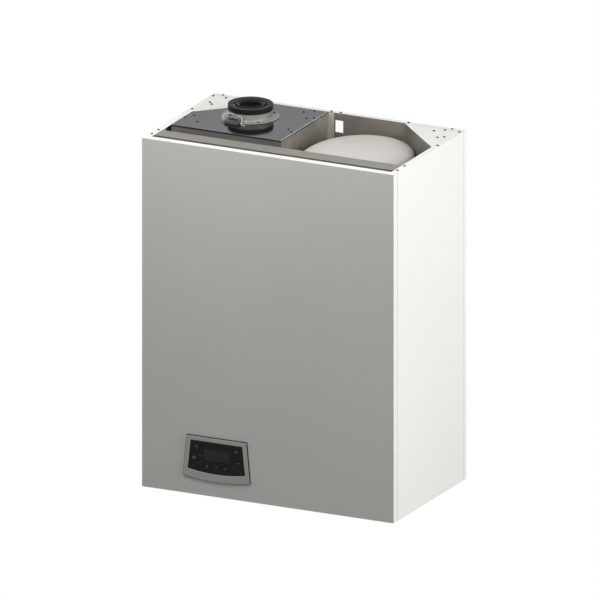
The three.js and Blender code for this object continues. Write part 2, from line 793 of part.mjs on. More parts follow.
// The burner: a flanged tube closed at its far end, pierced with rows of slots.
function burnerTube() {
  const flangeY = exchangerFrontY;
  const endY = flangeY + burnerLength;
  const flange = 8;
  const flangePlate = 2;
  const bore = burnerRadius - burnerWall;
  const tube = turnedAlongY([
    [bore, flangeY], [burnerRadius + flange, flangeY], [burnerRadius + flange, flangeY + flangePlate],
    [burnerRadius, flangeY + flangePlate], [burnerRadius, endY], [0, endY],
    [0, endY - burnerWall], [bore, endY - burnerWall], [bore, flangeY],
  ], exchangerX, exchangerZ);
  const [slotLength, slotWidth] = [12, 3];
  const slots = [0.35, 0.65].flatMap((share) => [0, 60, 120].map((angle) => {
    const slot = new THREE.BoxGeometry(burnerRadius * 2 + flange / 2, slotLength, slotWidth);
    slot.rotateY(THREE.MathUtils.degToRad(angle));
    slot.translate(exchangerX, flangeY + share * burnerLength, exchangerZ);
    return solidOf(slot);
  }));
  return cut(tube, ...slots);
}

piece('exchanger_barrel', exchangerBarrel(), finishes.stainless);
piece('exhaust_duct', exhaustDuct(), finishes.blackPlastic);
piece('burner_door', burnerDoor(), finishes.aluminium);
piece('burner_tube', burnerTube(), finishes.stainless);


// ---- premix fan ----------------------------------------------------------------------------

const motorRadius = 32;
const motorHeight = 52;
const venturiHeight = 40;
const venturiRadius = 27;
const fanStack = venturiHeight + fanHeight + motorHeight + 2 * seat;
const fanRoom = topSheetZ - exchangerTop - fanStack;
const fanBottom = exchangerTop + fanRoomShare * fanRoom + venturiHeight + seat;
const fanTop = fanBottom + fanHeight;
const scrollWall = 2.5;
const outletWidth = 38;
const eyeRadius = 22;
const shaftRadius = 3;
const impellerRadius = 42;
const impellerGap = 3;
const impellerBottom = fanBottom + scrollWall + impellerGap;
const impellerTop = fanTop - scrollWall - impellerGap;

// The scroll widens from its tongue to an outlet that faces the front, along the left side.
function scrollOutline(offset) {
  const reach = fanRadius - offset;
  const outletLeft = fanX - reach;
  const outletRight = fanX - fanRadius + outletWidth;
  const tongue = Math.acos((outletRight - offset - fanX) / reach);
  const shape = new THREE.Shape();
  shape.moveTo(outletLeft, doorFrontY);
  shape.lineTo(outletRight - offset, doorFrontY);
  shape.absarc(fanX, fanY, reach, -tongue, Math.PI, false);
  shape.closePath();
  return shape;
}

function fanScroll() {
  return cut(
    risen(scrollOutline(0), fanBottom, fanTop, 12),
    risen(scrollOutline(scrollWall), fanBottom + scrollWall, fanTop - scrollWall, 12),
    turned(rod(eyeRadius, fanBottom - 1, fanBottom + 2 * scrollWall), fanX, fanY),
    turned(rod(shaftRadius + 1, fanTop - 2 * scrollWall, fanTop + 1), fanX, fanY, 12),
  );
}

// Blades curve back from the eye to the rim under a disc, with a shaft up into the motor.
function fanImpeller() {
  const discPlate = 2;
  const hubRadius = 8;
  const disc = turned(rod(impellerRadius, impellerTop - discPlate, impellerTop), fanX, fanY, 24);
  const hub = turned(rod(hubRadius, impellerBottom + 2 * impellerGap, impellerTop), fanX, fanY, 12);
  const shaft = turned(rod(shaftRadius, impellerTop - 1, fanTop + motorHeight / 2), fanX, fanY, 8);
  const lean = 0.55;
  const thickness = 1.6;
  const [tipX, tipY] = [impellerRadius * Math.cos(lean), impellerRadius * Math.sin(lean)];
  const bulge = impellerRadius * 0.8;
  const blade = new THREE.Shape();
  blade.moveTo(eyeRadius, 0);
  blade.quadraticCurveTo(bulge, 1, tipX, tipY);
  blade.lineTo(tipX - thickness, tipY);
  blade.quadraticCurveTo(bulge - 1, 1 + thickness, eyeRadius, thickness);
  blade.closePath();
  const blades = Array.from({ length: bladeCount }, (_, i) => {
    const geometry = extruded(blade, impellerTop - discPlate / 2 - impellerBottom, 2);
    geometry.rotateZ((i / bladeCount) * Math.PI * 2);
    geometry.translate(fanX, fanY, impellerBottom);
    return solidOf(geometry);
  });
  return joined(disc, hub, shaft, ...blades);
}

function fanMotor() {
  const foot = fanTop + seat;
  const top = foot + motorHeight;
  const bodyRadius = motorRadius - 3;
  const dome = 6;
  const can = turned([
    [0, foot], [motorRadius, foot], [motorRadius, foot + dome], [bodyRadius, foot + dome],
    [bodyRadius, top - dome], [bodyRadius - dome, top], [0, top],
  ], fanX, fanY, 20);
  const plugHalf = 9;
  const plugReach = 8;
  const plugBottom = foot + 14;
  const plug = block(fanX - plugHalf, fanX + plugHalf, fanY + motorRadius - plugReach,
    fanY + motorRadius + plugReach, plugBottom, plugBottom + 2 * plugReach);
  return cut(joined(can, plug),
    turned(rod(shaftRadius + seat, foot - 1, foot + motorHeight / 2 + 1), fanX, fanY, 12));
}

// The mixing throat hangs under the fan's eye, with a gas nozzle on its right.
const nozzleReach = 4;
const gasNozzleZ = fanBottom - seat - venturiHeight / 2;

function venturi() {
  const top = fanBottom - seat;
  const bottom = top - venturiHeight;
  const throat = 14;
  const throatTop = top - 14;
  const throatBottom = top - 22;
  const rim = 4;
  const skin = 5;
  const wall = turned([
    [eyeRadius - 1, top], [throat, throatTop], [throat, throatBottom], [eyeRadius, bottom],
    [venturiRadius, bottom], [venturiRadius, bottom + rim], [throat + skin, throatBottom],
    [throat + skin, throatTop], [venturiRadius, top - rim], [venturiRadius, top], [eyeRadius - 1, top],
  ], fanX, fanY);
  const end = fanX + venturiRadius + nozzleReach;
  const nozzle = turnedAlongX(rod(7, fanX + throat + 2, end), fanY, gasNozzleZ);
  const bore = turnedAlongX(rod(4, fanX, end + 1), fanY, gasNozzleZ, 8);
  return cut(joined(wall, nozzle), bore);
}

// A cast duct takes the mixture from the fan's outlet down to the burner door.
function premixOutline(offset) {
  const round = burnerRadius + 6 - offset;
  const left = fanX - fanRadius + offset;
  const right = fanX - fanRadius + outletWidth - offset;
  const shape = new THREE.Shape();
  shape.moveTo(left, fanTop - offset);
  shape.lineTo(exchangerX - round, exchangerZ);
  shape.absarc(exchangerX, exchangerZ, round, Math.PI, Math.PI * 2, false);
  shape.lineTo(right, fanTop - offset);
  shape.closePath();
  return shape;
}

function premixDuct() {
  const back = doorFrontY - seat;
  const front = back - 29;
  const wall = 3;
  return cut(
    facing(premixOutline(0), front, back),
    facing(premixOutline(wall), front + wall, back - wall),
    turnedAlongY(rod(burnerThroat, back - 2 * wall, back + 1), exchangerX, exchangerZ),
    block(fanX - fanRadius + wall, fanX - fanRadius + outletWidth - wall, back - 2 * wall, back + 1,
      fanBottom + wall, fanTop - wall),
  );
}

// A ceramic body through the door, with a rod that reaches the burner's side.
function electrode() {
  const tip = 18;
  const rodRadius = 1.5;
  const rodLength = 45;
  return joined(
    turnedAlongY([[0, doorFrontY - tip], [electrodeRadius - 2, doorFrontY - tip],
      [electrodeRadius, doorFrontY - tip / 2], [electrodeRadius, exchangerFrontY], [0, exchangerFrontY]],
    electrodeX, exchangerZ, 10),
    turnedAlongY(rod(rodRadius, exchangerFrontY - 1, exchangerFrontY + rodLength), electrodeX, exchangerZ, 6),
  );
}

piece('fan_scroll', fanScroll(), finishes.aluminium);
piece('fan_impeller', fanImpeller(), finishes.blackPlastic);
piece('fan_motor', fanMotor(), finishes.blackPlastic);
piece('venturi', venturi(), finishes.aluminium);
piece('premix_duct', premixDuct(), finishes.aluminium);
piece('ignition_electrode', electrode(), finishes.whiteCeramic);


// ---- water and gas -------------------------------------------------------------------------

const plateBottom = sheet + seat;            // the bottom plate lies on the side panels' returns
const plateTop = plateBottom + sheet;
const plateFlangeTop = plateBottom + plateFlange;
const stubEnd = -stubDrop;
const waterRadius = waterPipe / 2;
const waterBore = waterRadius - pipeWall;
const diverterBottom = 125;
const diverterTop = 175;
const diverterMiddle = (diverterBottom + diverterTop) / 2;
const diverterReach = 24;          // from its axis to the heat exchanger
const coldStub = [coldPort[0], stubRowY];
const hotStub = [hotPort[0], stubRowY];
const barrelSeat = () => turnedAlongY(
  rod(exchangerRadius + seat, exchangerFrontY - 1, exchangerBackY + 1), exchangerX, exchangerZ);

const gasValveBottom = airboxBottom + 22;
const gasInletHeight = 8;
const gasBodyHeight = 62;
const gasOutletHeight = 10;
const gasCoilHeight = 26;
const gasBodyTop = gasValveBottom + gasInletHeight + gasBodyHeight;
const gasOutletTop = gasBodyTop + gasOutletHeight;
const [gasX, gasY] = gasLine;
const [feedX, feedY] = [gasX + 15, gasY - 25];

// The gas valve: a cast body with an inlet below, an outlet above and two coils.
function gasValve() {
  const bodyBottom = gasValveBottom + gasInletHeight;
  const body = block(gasX - 36, gasX + 30, gasY - 37, gasY + 29, bodyBottom, gasBodyTop);
  const upright = (radius, z0, z1, x, y, sides = 12) => turned(rod(radius, z0, z1), x, y, sides);
  const inlet = upright(14, gasValveBottom, bodyBottom + 2, gasX, gasY);
  const outlet = upright(11, gasBodyTop - 2, gasOutletTop, feedX, feedY);
  const coils = [-22, 2].map(
    (dx) => upright(10, gasBodyTop - 2, gasBodyTop + gasCoilHeight, gasX + dx, gasY + 10));
  const bodyMiddle = bodyBottom + gasBodyHeight / 2;
  const throat = upright(gasPipe / 2 - pipeWall, gasValveBottom - 1, bodyMiddle, gasX, gasY);
  const exit = upright(fuelPipe / 2 - pipeWall, bodyMiddle, gasOutletTop + 1, feedX, feedY);
  return cut(joined(body, inlet, outlet, ...coils), throat, exit);
}

// The expansion vessel: two pressed halves with a rim where they meet, flat against the wall side.
function expansionVessel() {
  const vesselRadius = (halfWidth + shelfLeft - vesselLeftGap - vesselRightGap) / 2;
  const vesselX = -halfWidth + vesselLeftGap + vesselRadius;
  const vesselZ = (plateFlangeTop + airboxBottom) / 2;
  const back = sideBackY;
  const front = back - vesselDepth;
  const middle = (front + back) / 2;
  const wall = 1.5;
  const rim = 4;
  const body = vesselRadius - rim;
  const [flat, shoulder] = [body * 0.5, body * 0.85];
  const [dish, round] = [6, 24];
  return cut(
    turnedAlongY([
      [0, front], [flat, front], [shoulder, front + dish], [body, front + round], [body, middle - rim / 2],
      [vesselRadius, middle - rim / 2], [vesselRadius, middle + rim / 2], [body, middle + rim / 2],
      [body, back - round], [shoulder, back - dish], [flat, back], [0, back],
    ], vesselX, vesselZ),
    turnedAlongY([
      [0, front + wall], [flat, front + wall], [shoulder - wall, front + dish + wall],
      [body - 2 * wall, front + round], [body - 2 * wall, back - round],
      [shoulder - wall, back - dish - wall], [flat, back - wall], [0, back - wall],
    ], vesselX, vesselZ),
    turnedAlongY(rod(rim, front - 1, front + 2 * wall), vesselX, vesselZ, 8),
  );
}

const pumpBackY = stubRowY + 15;
const pumpFrontY = stubRowY - 25;
const pumpPortReach = 62;
const pumpChamber = pumpRadius - 8;
const pumpShaft = 4;
const pumpShaftLength = 50;
const pumpMotorLength = 78;

// The pump: a round volute with ports above and below, and a ribbed motor that faces the front.
function pumpBody() {
  const [x, y] = returnLine;
  const edge = 6;
  const portRim = 14;
  const volute = turnedAlongY([
    [0, pumpBackY], [pumpChamber, pumpBackY], [pumpRadius, pumpBackY - edge],
    [pumpRadius, pumpFrontY + edge], [pumpRadius - edge, pumpFrontY], [0, pumpFrontY],
  ], x, pumpZ, 20);
  const ports = joined(
    turned(rod(portRim, pumpZ - pumpPortReach, pumpZ + pumpPortReach), x, y),
    turned(rod(waterRadius, stubEnd, pumpZ - pumpPortReach + 1), x, y, 12),
  );
  return cut(
    joined(volute, ports),
    turnedAlongY(rod(pumpChamber, pumpFrontY - 1, pumpBackY - 2 * edge), x, pumpZ),
    turned(rod(waterBore, stubEnd - 1, pumpZ + pumpPortReach + 1), x, y, 12),
  );
}

function pumpImpeller() {
  const [x, y] = returnLine;
  const rim = pumpChamber - 6;
  const discY = y - 10;
  const discPlate = 3;
  const vaneCount = 5;
  const vaneDepth = 10;
  const root = pumpShaft + 2;
  const disc = turnedAlongY(rod(rim, discY, discY + discPlate), x, pumpZ);
  const shaft = turnedAlongY(rod(pumpShaft, discY - pumpShaftLength, discY + discPlate + 1), x, pumpZ, 8);
  const vane = new THREE.Shape();
  vane.moveTo(root, -1);
  vane.quadraticCurveTo(rim * 0.7, 0, rim * 0.85, rim * 0.45);
  vane.lineTo(rim * 0.76, rim * 0.5);
  vane.quadraticCurveTo(rim * 0.6, 3, root, 2);
  vane.closePath();
  const vanes = Array.from({ length: vaneCount }, (_, i) => {
    const geometry = extruded(vane, vaneDepth, 2);
    geometry.rotateZ((i / vaneCount) * Math.PI * 2);
    geometry.rotateX(Math.PI / 2);
    geometry.translate(x, discY + discPlate - 1 + vaneDepth, pumpZ);
    return solidOf(geometry);
  });
  return joined(disc, shaft, ...vanes);
}

// The motor can, with its terminal box on top; its bore takes the impeller's shaft.
function pumpMotor() {
  const [x] = returnLine;
  const back = pumpFrontY - seat;
  const front = back - pumpMotorLength;
  const [flange, can, nose] = [38, 34, 30];
  const flangePlate = 7;
  const boxHalf = 24;
  const boxHeight = 18;
  const boxBottom = pumpZ + nose - 2;
  const motor = turnedAlongY([
    [0, back], [flange, back], [flange, back - flangePlate], [can, back - flangePlate],
    [can, front + 2 * flangePlate], [nose, front], [0, front],
  ], x, pumpZ, 20);
  const box = block(x - boxHalf, x + boxHalf, front + 4, back - 2 * flangePlate,
    boxBottom, boxBottom + boxHeight);
  return cut(joined(motor, box),
    turnedAlongY(rod(pumpShaft + seat, back - pumpMotorLength / 2, back + 1), x, pumpZ, 10));
}

const neckReach = 30;              // of the diverter's neck, to its drive

// The diverter valve: an upright body on its stub, with a branch to the right and a neck to the front.
function diverterValve() {
  const [x, y] = flowLine;
  const bodyRadius = 17;
  const rim = 13;
  const cap = 8;
  return cut(
    joined(
      turned(rod(bodyRadius, diverterBottom + cap, diverterTop - cap), x, y),
      turned(rod(rim, diverterBottom, diverterTop), x, y, 12),
      turned(rod(waterRadius, stubEnd, diverterBottom + 1), x, y, 12),
      turnedAlongX(rod(rim - 1, x, x + diverterReach), y, diverterMiddle),
      turnedAlongY(rod(rim, y - neckReach, y), x, diverterMiddle, 12),
    ),
    turned(rod(waterBore, stubEnd - 1, diverterTop + 1), x, y, 12),
    turnedAlongX(rod(waterBore, x, x + diverterReach + 1), y, diverterMiddle),
  );
}

function diverterActuator() {
  const [x, y] = flowLine;
  const back = y - neckReach - seat;
  const half = 14;
  const depth = 42;
  const [bottom, shoulder, peak] = [diverterMiddle - 20, diverterMiddle + 28, diverterMiddle + 40];
  const plugHalf = 10;
  const plugDepth = 8;
  const outline = new THREE.Shape();
  outline.moveTo(x - half, bottom);
  outline.lineTo(x + half, bottom);
  outline.lineTo(x + half, shoulder);
  outline.quadraticCurveTo(x, peak, x - half, shoulder);
  outline.closePath();
  return joined(
    facing(outline, back - depth, back, 6),
    block(x - plugHalf, x + plugHalf, back - depth - plugDepth, back - depth + 1,
      diverterMiddle - plugHalf, diverterMiddle + plugHalf),
  );
}

const plateCount = 14;
const plateLeft = flowLine[0] + diverterReach + seat;
const platesRight = 32;
const platesBottom = 92;
const platesTop = 215;

// Brazed plates show as fine ribs along the sides of the heat exchanger.
function plateExchanger() {
  const back = stubRowY + 24;
  const front = stubRowY - 28;
  const end = 3;
  const groove = 2;
  const pitch = (platesRight - plateLeft - 2 * end) / plateCount;
  const shape = new THREE.Shape();
  shape.moveTo(plateLeft, back);
  shape.lineTo(plateLeft, front);
  for (let i = 0; i < plateCount; i++) {
    const x = plateLeft + end + i * pitch;
    shape.lineTo(x, front);
    shape.lineTo(x + pitch * 0.3, front + groove);
    shape.lineTo(x + pitch * 0.7, front + groove);
  }
  shape.lineTo(platesRight, front);
  shape.lineTo(platesRight, back);
  shape.closePath();
  return risen(shape, platesBottom, platesTop);
}

const valveBodyTop = plateTop + seat + 42;
const reliefPlace = [gasStubX + reliefOffset, frontY + reliefSetback];

// A brass safety valve that stands on the bottom plate, with its stub through it.
function reliefValve() {
  const [x, y] = reliefPlace;
  const foot = plateTop + seat;
  const nutHeight = 10;
  const portZ = foot + 26;
  const portReach = 24;
  const [nut, body, stub, bore] = [15, 11, 8, 5];
  return cut(
    joined(
      turned(rod(nut, foot, foot + nutHeight), x, y, 6),
      turned(rod(body, foot + nutHeight - 2, valveBodyTop), x, y, 14),
      turned(rod(stub, stubEnd, foot + 2), x, y, 12),
      turnedAlongY(rod(stub, y - portReach, y), x, portZ, 12),
    ),
    turned(rod(bore, stubEnd - 1, portZ + bore), x, y, 10),
    turnedAlongY(rod(bore, y - portReach - 1, y), x, portZ, 10),
  );
}

// The turning knob: its rim waves in and out round a waist that stands on the valve.
function reliefKnob() {
  const [x, y] = reliefPlace;
  const foot = valveBodyTop + seat;
  const radius = 17;
  const lobes = 6;
  const stepsPerLobe = 4;
  const depth = 0.09;
  const waistHeight = 4;
  const height = 20;
  const steps = lobes * stepsPerLobe;
  const rim = Array.from({ length: steps }, (_, i) => {
    const angle = (i / steps) * Math.PI * 2;
    const r = radius * (1 - depth * (1 - Math.cos(lobes * angle)));
    return [x + r * Math.cos(angle), y + r * Math.sin(angle)];
  });
  return joined(risen(planShape(rim), foot + waistHeight, foot + height),
    turned(rod(radius * 0.6, foot, foot + waistHeight + 1), x, y));
}

const trapSplit = 110;
const trapRadius = 30;
const cupBottom = 58;
const trapInlet = [drainLine[0] + 45, drainLine[1]];
const drainPipe = 16;

// The trap's bottle, with the pipe that rises from its neck to the underside of the exchanger.
function trapBody() {
  const [x, y] = drainLine;
  const [inletX, inletY] = trapInlet;
  const top = airboxBottom - 30;
  const shoulder = top - 20;
  const neck = 12;
  const wall = 3;
  const lid = trapSplit + neck;
  const bend = 45;
  const bendTop = airboxBottom + 100;
  const inlet = pipe([[inletX, inletY, exchangerZ], [inletX, inletY, bendTop], [x, y, bendTop - bend],
    [x, y, shoulder - wall]], drainPipe, wall / 2, drainPipe);
  const bottle = cut(
    turned([[0, trapSplit + seat], [trapRadius, trapSplit + seat], [trapRadius, lid],
      [trapRadius - wall, lid], [trapRadius - wall, shoulder], [neck, top - 2 * wall],
      [neck, top], [0, top]], x, y),
    turned(rod(trapRadius - 2 * wall, trapSplit - 1, shoulder - wall), x, y),
    turned(rod(drainPipe / 2 - 1, shoulder - 2 * wall, top + 1), x, y, 10),
  );
  return cut(joined(bottle, inlet), barrelSeat());
}

function trapCup() {
  const [x, y] = drainLine;
  const wall = 6;
  const foot = trapRadius * 0.7;
  const shoulder = cupBottom + 20;
  return turned([[0, cupBottom], [foot, cupBottom], [trapRadius, shoulder], [trapRadius, trapSplit],
    [trapRadius - wall, trapSplit], [trapRadius - wall, shoulder], [foot - wall, cupBottom + wall],
    [0, cupBottom + wall]], x, y);
}

const stubHole = ([x, y]) => turned(rod(waterRadius + 1, -1, plateTop + 1), x, y, 12);

function bottomPlate() {
  const half = innerWall - seat;
  const front = sideFrontY + sheet + seat;
  const back = sideBackY - sheet - seat;
  const tray = cut(
    joined(
      block(-half, half, front, back, plateBottom, plateFlangeTop),
      block(-innerHalf, innerHalf, back - 1, sideBackY, plateBottom, plateFlangeTop),
    ),
    block(-half + sheet, half - sheet, front + sheet, back - sheet, plateTop, plateFlangeTop + 1),
    block(-innerHalf + sheet, innerHalf - sheet, back - sheet - 1, sideBackY - sheet,
      plateTop, plateFlangeTop + 1),
  );
  const stubs = [returnLine, flowLine, [gasStubX, stubRowY], coldStub, hotStub, reliefPlace];
  return cut(tray, ...stubs.map(stubHole));
}

const waterBend = Math.abs(tankY - stubRowY) * 0.48;
const tankStubEnd = tankBottom - portDrop - seat;
const bendZ = 165;
const gasRunZ = 62;

// A straight riser from z0 into the underside of the exchanger.
const riser = ([x, y], z0) => cut(pipe([[x, y, z0], [x, y, exchangerZ]], waterPipe, pipeWall), barrelSeat());

// From a port of the tank down, over to the row of stubs, and down through the bottom plate.
const tankPipe = ([portX, portY], [x, y]) => pipe([[portX, portY, tankStubEnd], [portX, portY, bendZ],
  [x, y, bendZ], [x, y, stubEnd]], waterPipe, pipeWall, waterBend);

const gasRun = [[gasX, gasY, gasValveBottom - seat], [gasX, gasY, gasRunZ], [gasX, stubRowY, gasRunZ],
  [gasStubX, stubRowY, gasRunZ], [gasStubX, stubRowY, stubEnd]];
const feedRun = [[feedX, feedY, gasOutletTop + seat], [feedX, feedY, gasNozzleZ], [feedX, fanY, gasNozzleZ],
  [fanX + venturiRadius + nozzleReach + seat, fanY, gasNozzleZ]];

piece('gas_valve', gasValve(), finishes.aluminium);
piece('heating_expansion_vessel', expansionVessel(), finishes.redPaint);
piece('pump_body', pumpBody(), finishes.brass);
piece('pump_impeller', pumpImpeller(), finishes.blackPlastic);
piece('pump_motor', pumpMotor(), finishes.blackPlastic);
piece('diverter_valve', diverterValve(), finishes.brass);
piece('diverter_actuator', diverterActuator(), finishes.blackPlastic);
piece('plate_heat_exchanger', plateExchanger(), finishes.stainless);
piece('relief_valve', reliefValve(), finishes.brass);
piece('relief_knob', reliefKnob(), finishes.redPlastic);
piece('condensate_trap', trapBody(), finishes.greyPlastic);
piece('condensate_cup', trapCup(), finishes.greyPlastic);
piece('bottom_plate', bottomPlate(), finishes.galvanised);
piece('heating_flow_pipe', riser(flowLine, diverterTop + seat), finishes.copper);
piece('heating_return_pipe', riser(returnLine, pumpZ + pumpPortReach + seat), finishes.copper);
piece('cold_water_pipe', tankPipe(coldPort, coldStub), finishes.copper);
piece('hot_water_pipe', tankPipe(hotPort, hotStub), finishes.copper);
piece('gas_pipe', pipe(gasRun, gasPipe, pipeWall, gasPipe), finishes.brass);
piece('gas_feed_pipe', pipe(feedRun, fuelPipe, pipeWall, nozzleReach + 2), finishes.aluminium);

// ---- control unit --------------------------------------------------------------------------

const bezelFrontY = frontY - bezelProud;
const fasciaFrontY = bezelFrontY + 1;
const fasciaDepth = 2;
const ledge = 3;                   // the bezel's step behind the fascia
const ledgeY = fasciaFrontY + fasciaDepth + seat;
const bezelBackY = frontY + bezelInset;
const housingFrontY = bezelBackY + seat;
const housingBackY = housingFrontY + housingDepth;
const housingHalf = controlHousingWidth / 2;
const housingBottom = plateFlangeTop + seat;
const housingTop = 152;
const housingWall = 2.5;
const boardFrontY = ledgeY + 4;
const boardThickness = 1.6;
const switchHalf = 3;
const displayHalf = 33.5;
const displayBottom = 88;
const displayTop = 116;
const displayInset = 0.2;
const keyProud = 0.5;
const keyCorner = 3;
const stemHalf = 2;

// Each key as [distance from the middle, height, width, height of the cap].
const sideKey = [18, 13];
const lowKey = [17, 11];
const keys = {
  key_hot_water: [-51.4, 119.7, ...sideKey],
  key_heating: [-58, 92.4, ...sideKey],
  key_plus: [51.4, 119.7, ...sideKey],
  key_minus: [58, 92.4, ...sideKey],
  key_comfort: [-24.3, 74, ...lowKey],
  key_power: [0, 73, ...lowKey],
  key_menu: [24.3, 74, ...lowKey],
};

function roundedBox(x, z, width, height, radius) {
  const shape = new THREE.Shape();
  const [w, h] = [width / 2 - radius, height / 2 - radius];
  shape.absarc(x + w, z + h, radius, 0, Math.PI / 2, false);
  shape.absarc(x - w, z + h, radius, Math.PI / 2, Math.PI, false);
  shape.absarc(x - w, z - h, radius, Math.PI, Math.PI * 1.5, false);
  shape.absarc(x + w, z - h, radius, Math.PI * 1.5, Math.PI * 2, false);
  shape.closePath();
  return shape;
}

const displayShape = (grow) => roundedBox(controlX, (displayBottom + displayTop) / 2,
  2 * (displayHalf + grow), displayTop - displayBottom + 2 * grow, 2 + grow);
const keyShape = ([dx, z, width, height], grow) => roundedBox(
  controlX + dx, z, width + 2 * grow, height + 2 * grow, keyCorner + grow);

function bezel() {
  return cut(
    facing(bezelOutline(0), bezelFrontY, bezelBackY, 10),
    facing(fasciaOutline(seat), bezelFrontY - 1, ledgeY, 10),
    facing(fasciaOutline(-ledge), ledgeY - 1, bezelBackY + 1, 10),
  );
}

function fascia() {
  const back = fasciaFrontY + fasciaDepth;
  const holes = Object.values(keys).map((key) => facing(keyShape(key, seat), fasciaFrontY - 1, back + 1, 1));
  return cut(
    facing(fasciaOutline(0), fasciaFrontY, back, 10),
    facing(displayShape(seat), fasciaFrontY - 1, back + 1, 1),
    ...holes,
  );
}

// A square post about a key's middle, from y0 back to y1.
const keyPost = ([dx, z], half, y0, y1) => (
  block(controlX + dx - half, controlX + dx + half, y0, y1, z - half, z + half));

function circuitBoard() {
  const board = facing(fasciaOutline(-ledge - seat), boardFrontY, boardFrontY + boardThickness, 10);
  const display = facing(displayShape(-2), ledgeY + seat, boardFrontY + 1, 1);
  const switches = Object.values(keys).map(
    (key) => keyPost(key, switchHalf, boardFrontY - boardThickness, boardFrontY + 1));
  return joined(board, display, ...switches);
}

function controlHousing() {
  const [left, right] = [controlX - housingHalf, controlX + housingHalf];
  return cut(
    block(left, right, housingFrontY, housingBackY, housingBottom, housingTop),
    block(left + housingWall, right - housingWall, housingFrontY + housingWall, housingBackY - housingWall,
      housingBottom + housingWall, housingTop - housingWall),
    facing(fasciaOutline(-ledge), housingFrontY - 1, housingFrontY + 2 * housingWall, 6),
  );
}

// A key: its cap stands just proud of the fascia, with a stem that works the switch behind it.
function keyCap(key) {
  const capBack = fasciaFrontY + fasciaDepth + keyProud;
  const stemEnd = boardFrontY - boardThickness - keyTravel - seat;
  return joined(
    facing(keyShape(key, 0), fasciaFrontY - keyProud, capBack, 1),
    keyPost(key, stemHalf, capBack - displayInset, stemEnd),
  );
}

piece('control_bezel', bezel(), finishes.greyPlastic);
piece('control_fascia', fascia(), finishes.glossBlack);
piece('display_window', facing(displayShape(0), fasciaFrontY + displayInset, fasciaFrontY + fasciaDepth, 1),
  finishes.darkGlass);
piece('circuit_board', circuitBoard(), finishes.greenBoard);
piece('control_housing', controlHousing(), finishes.blackPlastic);
for (const [name, key] of Object.entries(keys)) piece(name, keyCap(key), finishes.blackPlastic);

export default boiler;
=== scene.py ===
"""Looks of the wall-hung storage combi boiler.

Finishes, fine surfaces and small fittings round the CAD frame. Metres, in the frame of the CAD
part: +X to the right, +Y to the wall, +Z up.
"""
import json
import math

import bmesh
import bpy
from mathutils import Matrix, Vector


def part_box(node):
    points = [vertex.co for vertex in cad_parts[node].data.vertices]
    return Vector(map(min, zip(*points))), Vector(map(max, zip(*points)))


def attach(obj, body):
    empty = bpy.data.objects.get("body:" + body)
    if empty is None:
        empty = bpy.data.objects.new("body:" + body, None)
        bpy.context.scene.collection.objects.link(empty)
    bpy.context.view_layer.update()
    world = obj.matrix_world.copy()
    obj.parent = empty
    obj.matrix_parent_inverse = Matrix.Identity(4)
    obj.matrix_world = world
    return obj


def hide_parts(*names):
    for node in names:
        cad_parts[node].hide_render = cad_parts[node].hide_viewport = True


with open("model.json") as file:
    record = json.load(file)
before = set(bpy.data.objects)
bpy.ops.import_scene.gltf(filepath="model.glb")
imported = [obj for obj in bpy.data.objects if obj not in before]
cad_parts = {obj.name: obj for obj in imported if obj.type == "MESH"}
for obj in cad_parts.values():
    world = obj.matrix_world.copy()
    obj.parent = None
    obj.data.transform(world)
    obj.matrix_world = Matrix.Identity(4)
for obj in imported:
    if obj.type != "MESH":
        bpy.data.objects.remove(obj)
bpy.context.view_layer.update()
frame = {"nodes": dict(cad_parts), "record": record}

ROOT = "boiler"
MM = 0.001

# ---- places read from the frame ------------------------------------------------------------

FRONT_LOW, FRONT_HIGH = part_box("front_panel")
CASE_LEFT, CASE_FRONT, CASE_BOTTOM = FRONT_LOW
CASE_RIGHT, CASE_TOP = FRONT_HIGH.x, FRONT_HIGH.z
RING_LOW, RING_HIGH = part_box("flue_outer_ring")
FLUE = (RING_LOW + RING_HIGH) / 2
TANK_LOW, TANK_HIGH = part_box("tank_jacket")
PLATE_LOW, PLATE_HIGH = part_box("airbox_top_plate")
FLANGE_LOW, FLANGE_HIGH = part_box("flue_flange")
BEZEL_LOW, BEZEL_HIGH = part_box("control_bezel")
PANEL_X = (BEZEL_LOW.x + BEZEL_HIGH.x) / 2
FASCIA_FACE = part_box("control_fascia")[0].y
KEY_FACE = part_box("key_plus")[0].y


def local(z_mm):
    """A height above the foot of the case, in the frame."""
    return CASE_BOTTOM + z_mm * MM


# ---- camera --------------------------------------------------------------------------------

FRAME_PIXELS = 600
CORNER_PIXEL = (141.94, 486.2)        # the case's lower left front corner in the picture
PIXEL = 2.3546 * MM                   # one pixel's width at the object
AZIMUTH = math.radians(26.08)
ELEVATION = math.radians(17.64)
CAMERA_DISTANCE = 4.0
CAMERA_REACH = 20


def make_camera():
    """A parallel camera that puts the case's front corner on its pixel."""
    right = Vector((math.cos(AZIMUTH), math.sin(AZIMUTH), 0))
    back = Vector((
        math.sin(AZIMUTH) * math.cos(ELEVATION),
        -math.cos(AZIMUTH) * math.cos(ELEVATION),
        math.sin(ELEVATION),
    ))
    up = back.cross(right)
    corner = Vector((CASE_LEFT, CASE_FRONT, CASE_BOTTOM))
    middle = FRAME_PIXELS / 2
    centre = corner + right * (middle - CORNER_PIXEL[0]) * PIXEL
    centre += up * (CORNER_PIXEL[1] - middle) * PIXEL
    data = bpy.data.cameras.new("camera")
    data.type = "ORTHO"
    data.ortho_scale = FRAME_PIXELS * PIXEL
    data.clip_end = CAMERA_REACH
    camera = bpy.data.objects.new("camera", data)
    bpy.context.scene.collection.objects.link(camera)
    camera.rotation_mode = "QUATERNION"
    camera.rotation_quaternion = Matrix((right, up, back)).transposed().to_quaternion()
    camera.location = centre + back * CAMERA_DISTANCE
    bpy.context.scene.camera = camera


make_camera()

# ---- materials -----------------------------------------------------------------------------

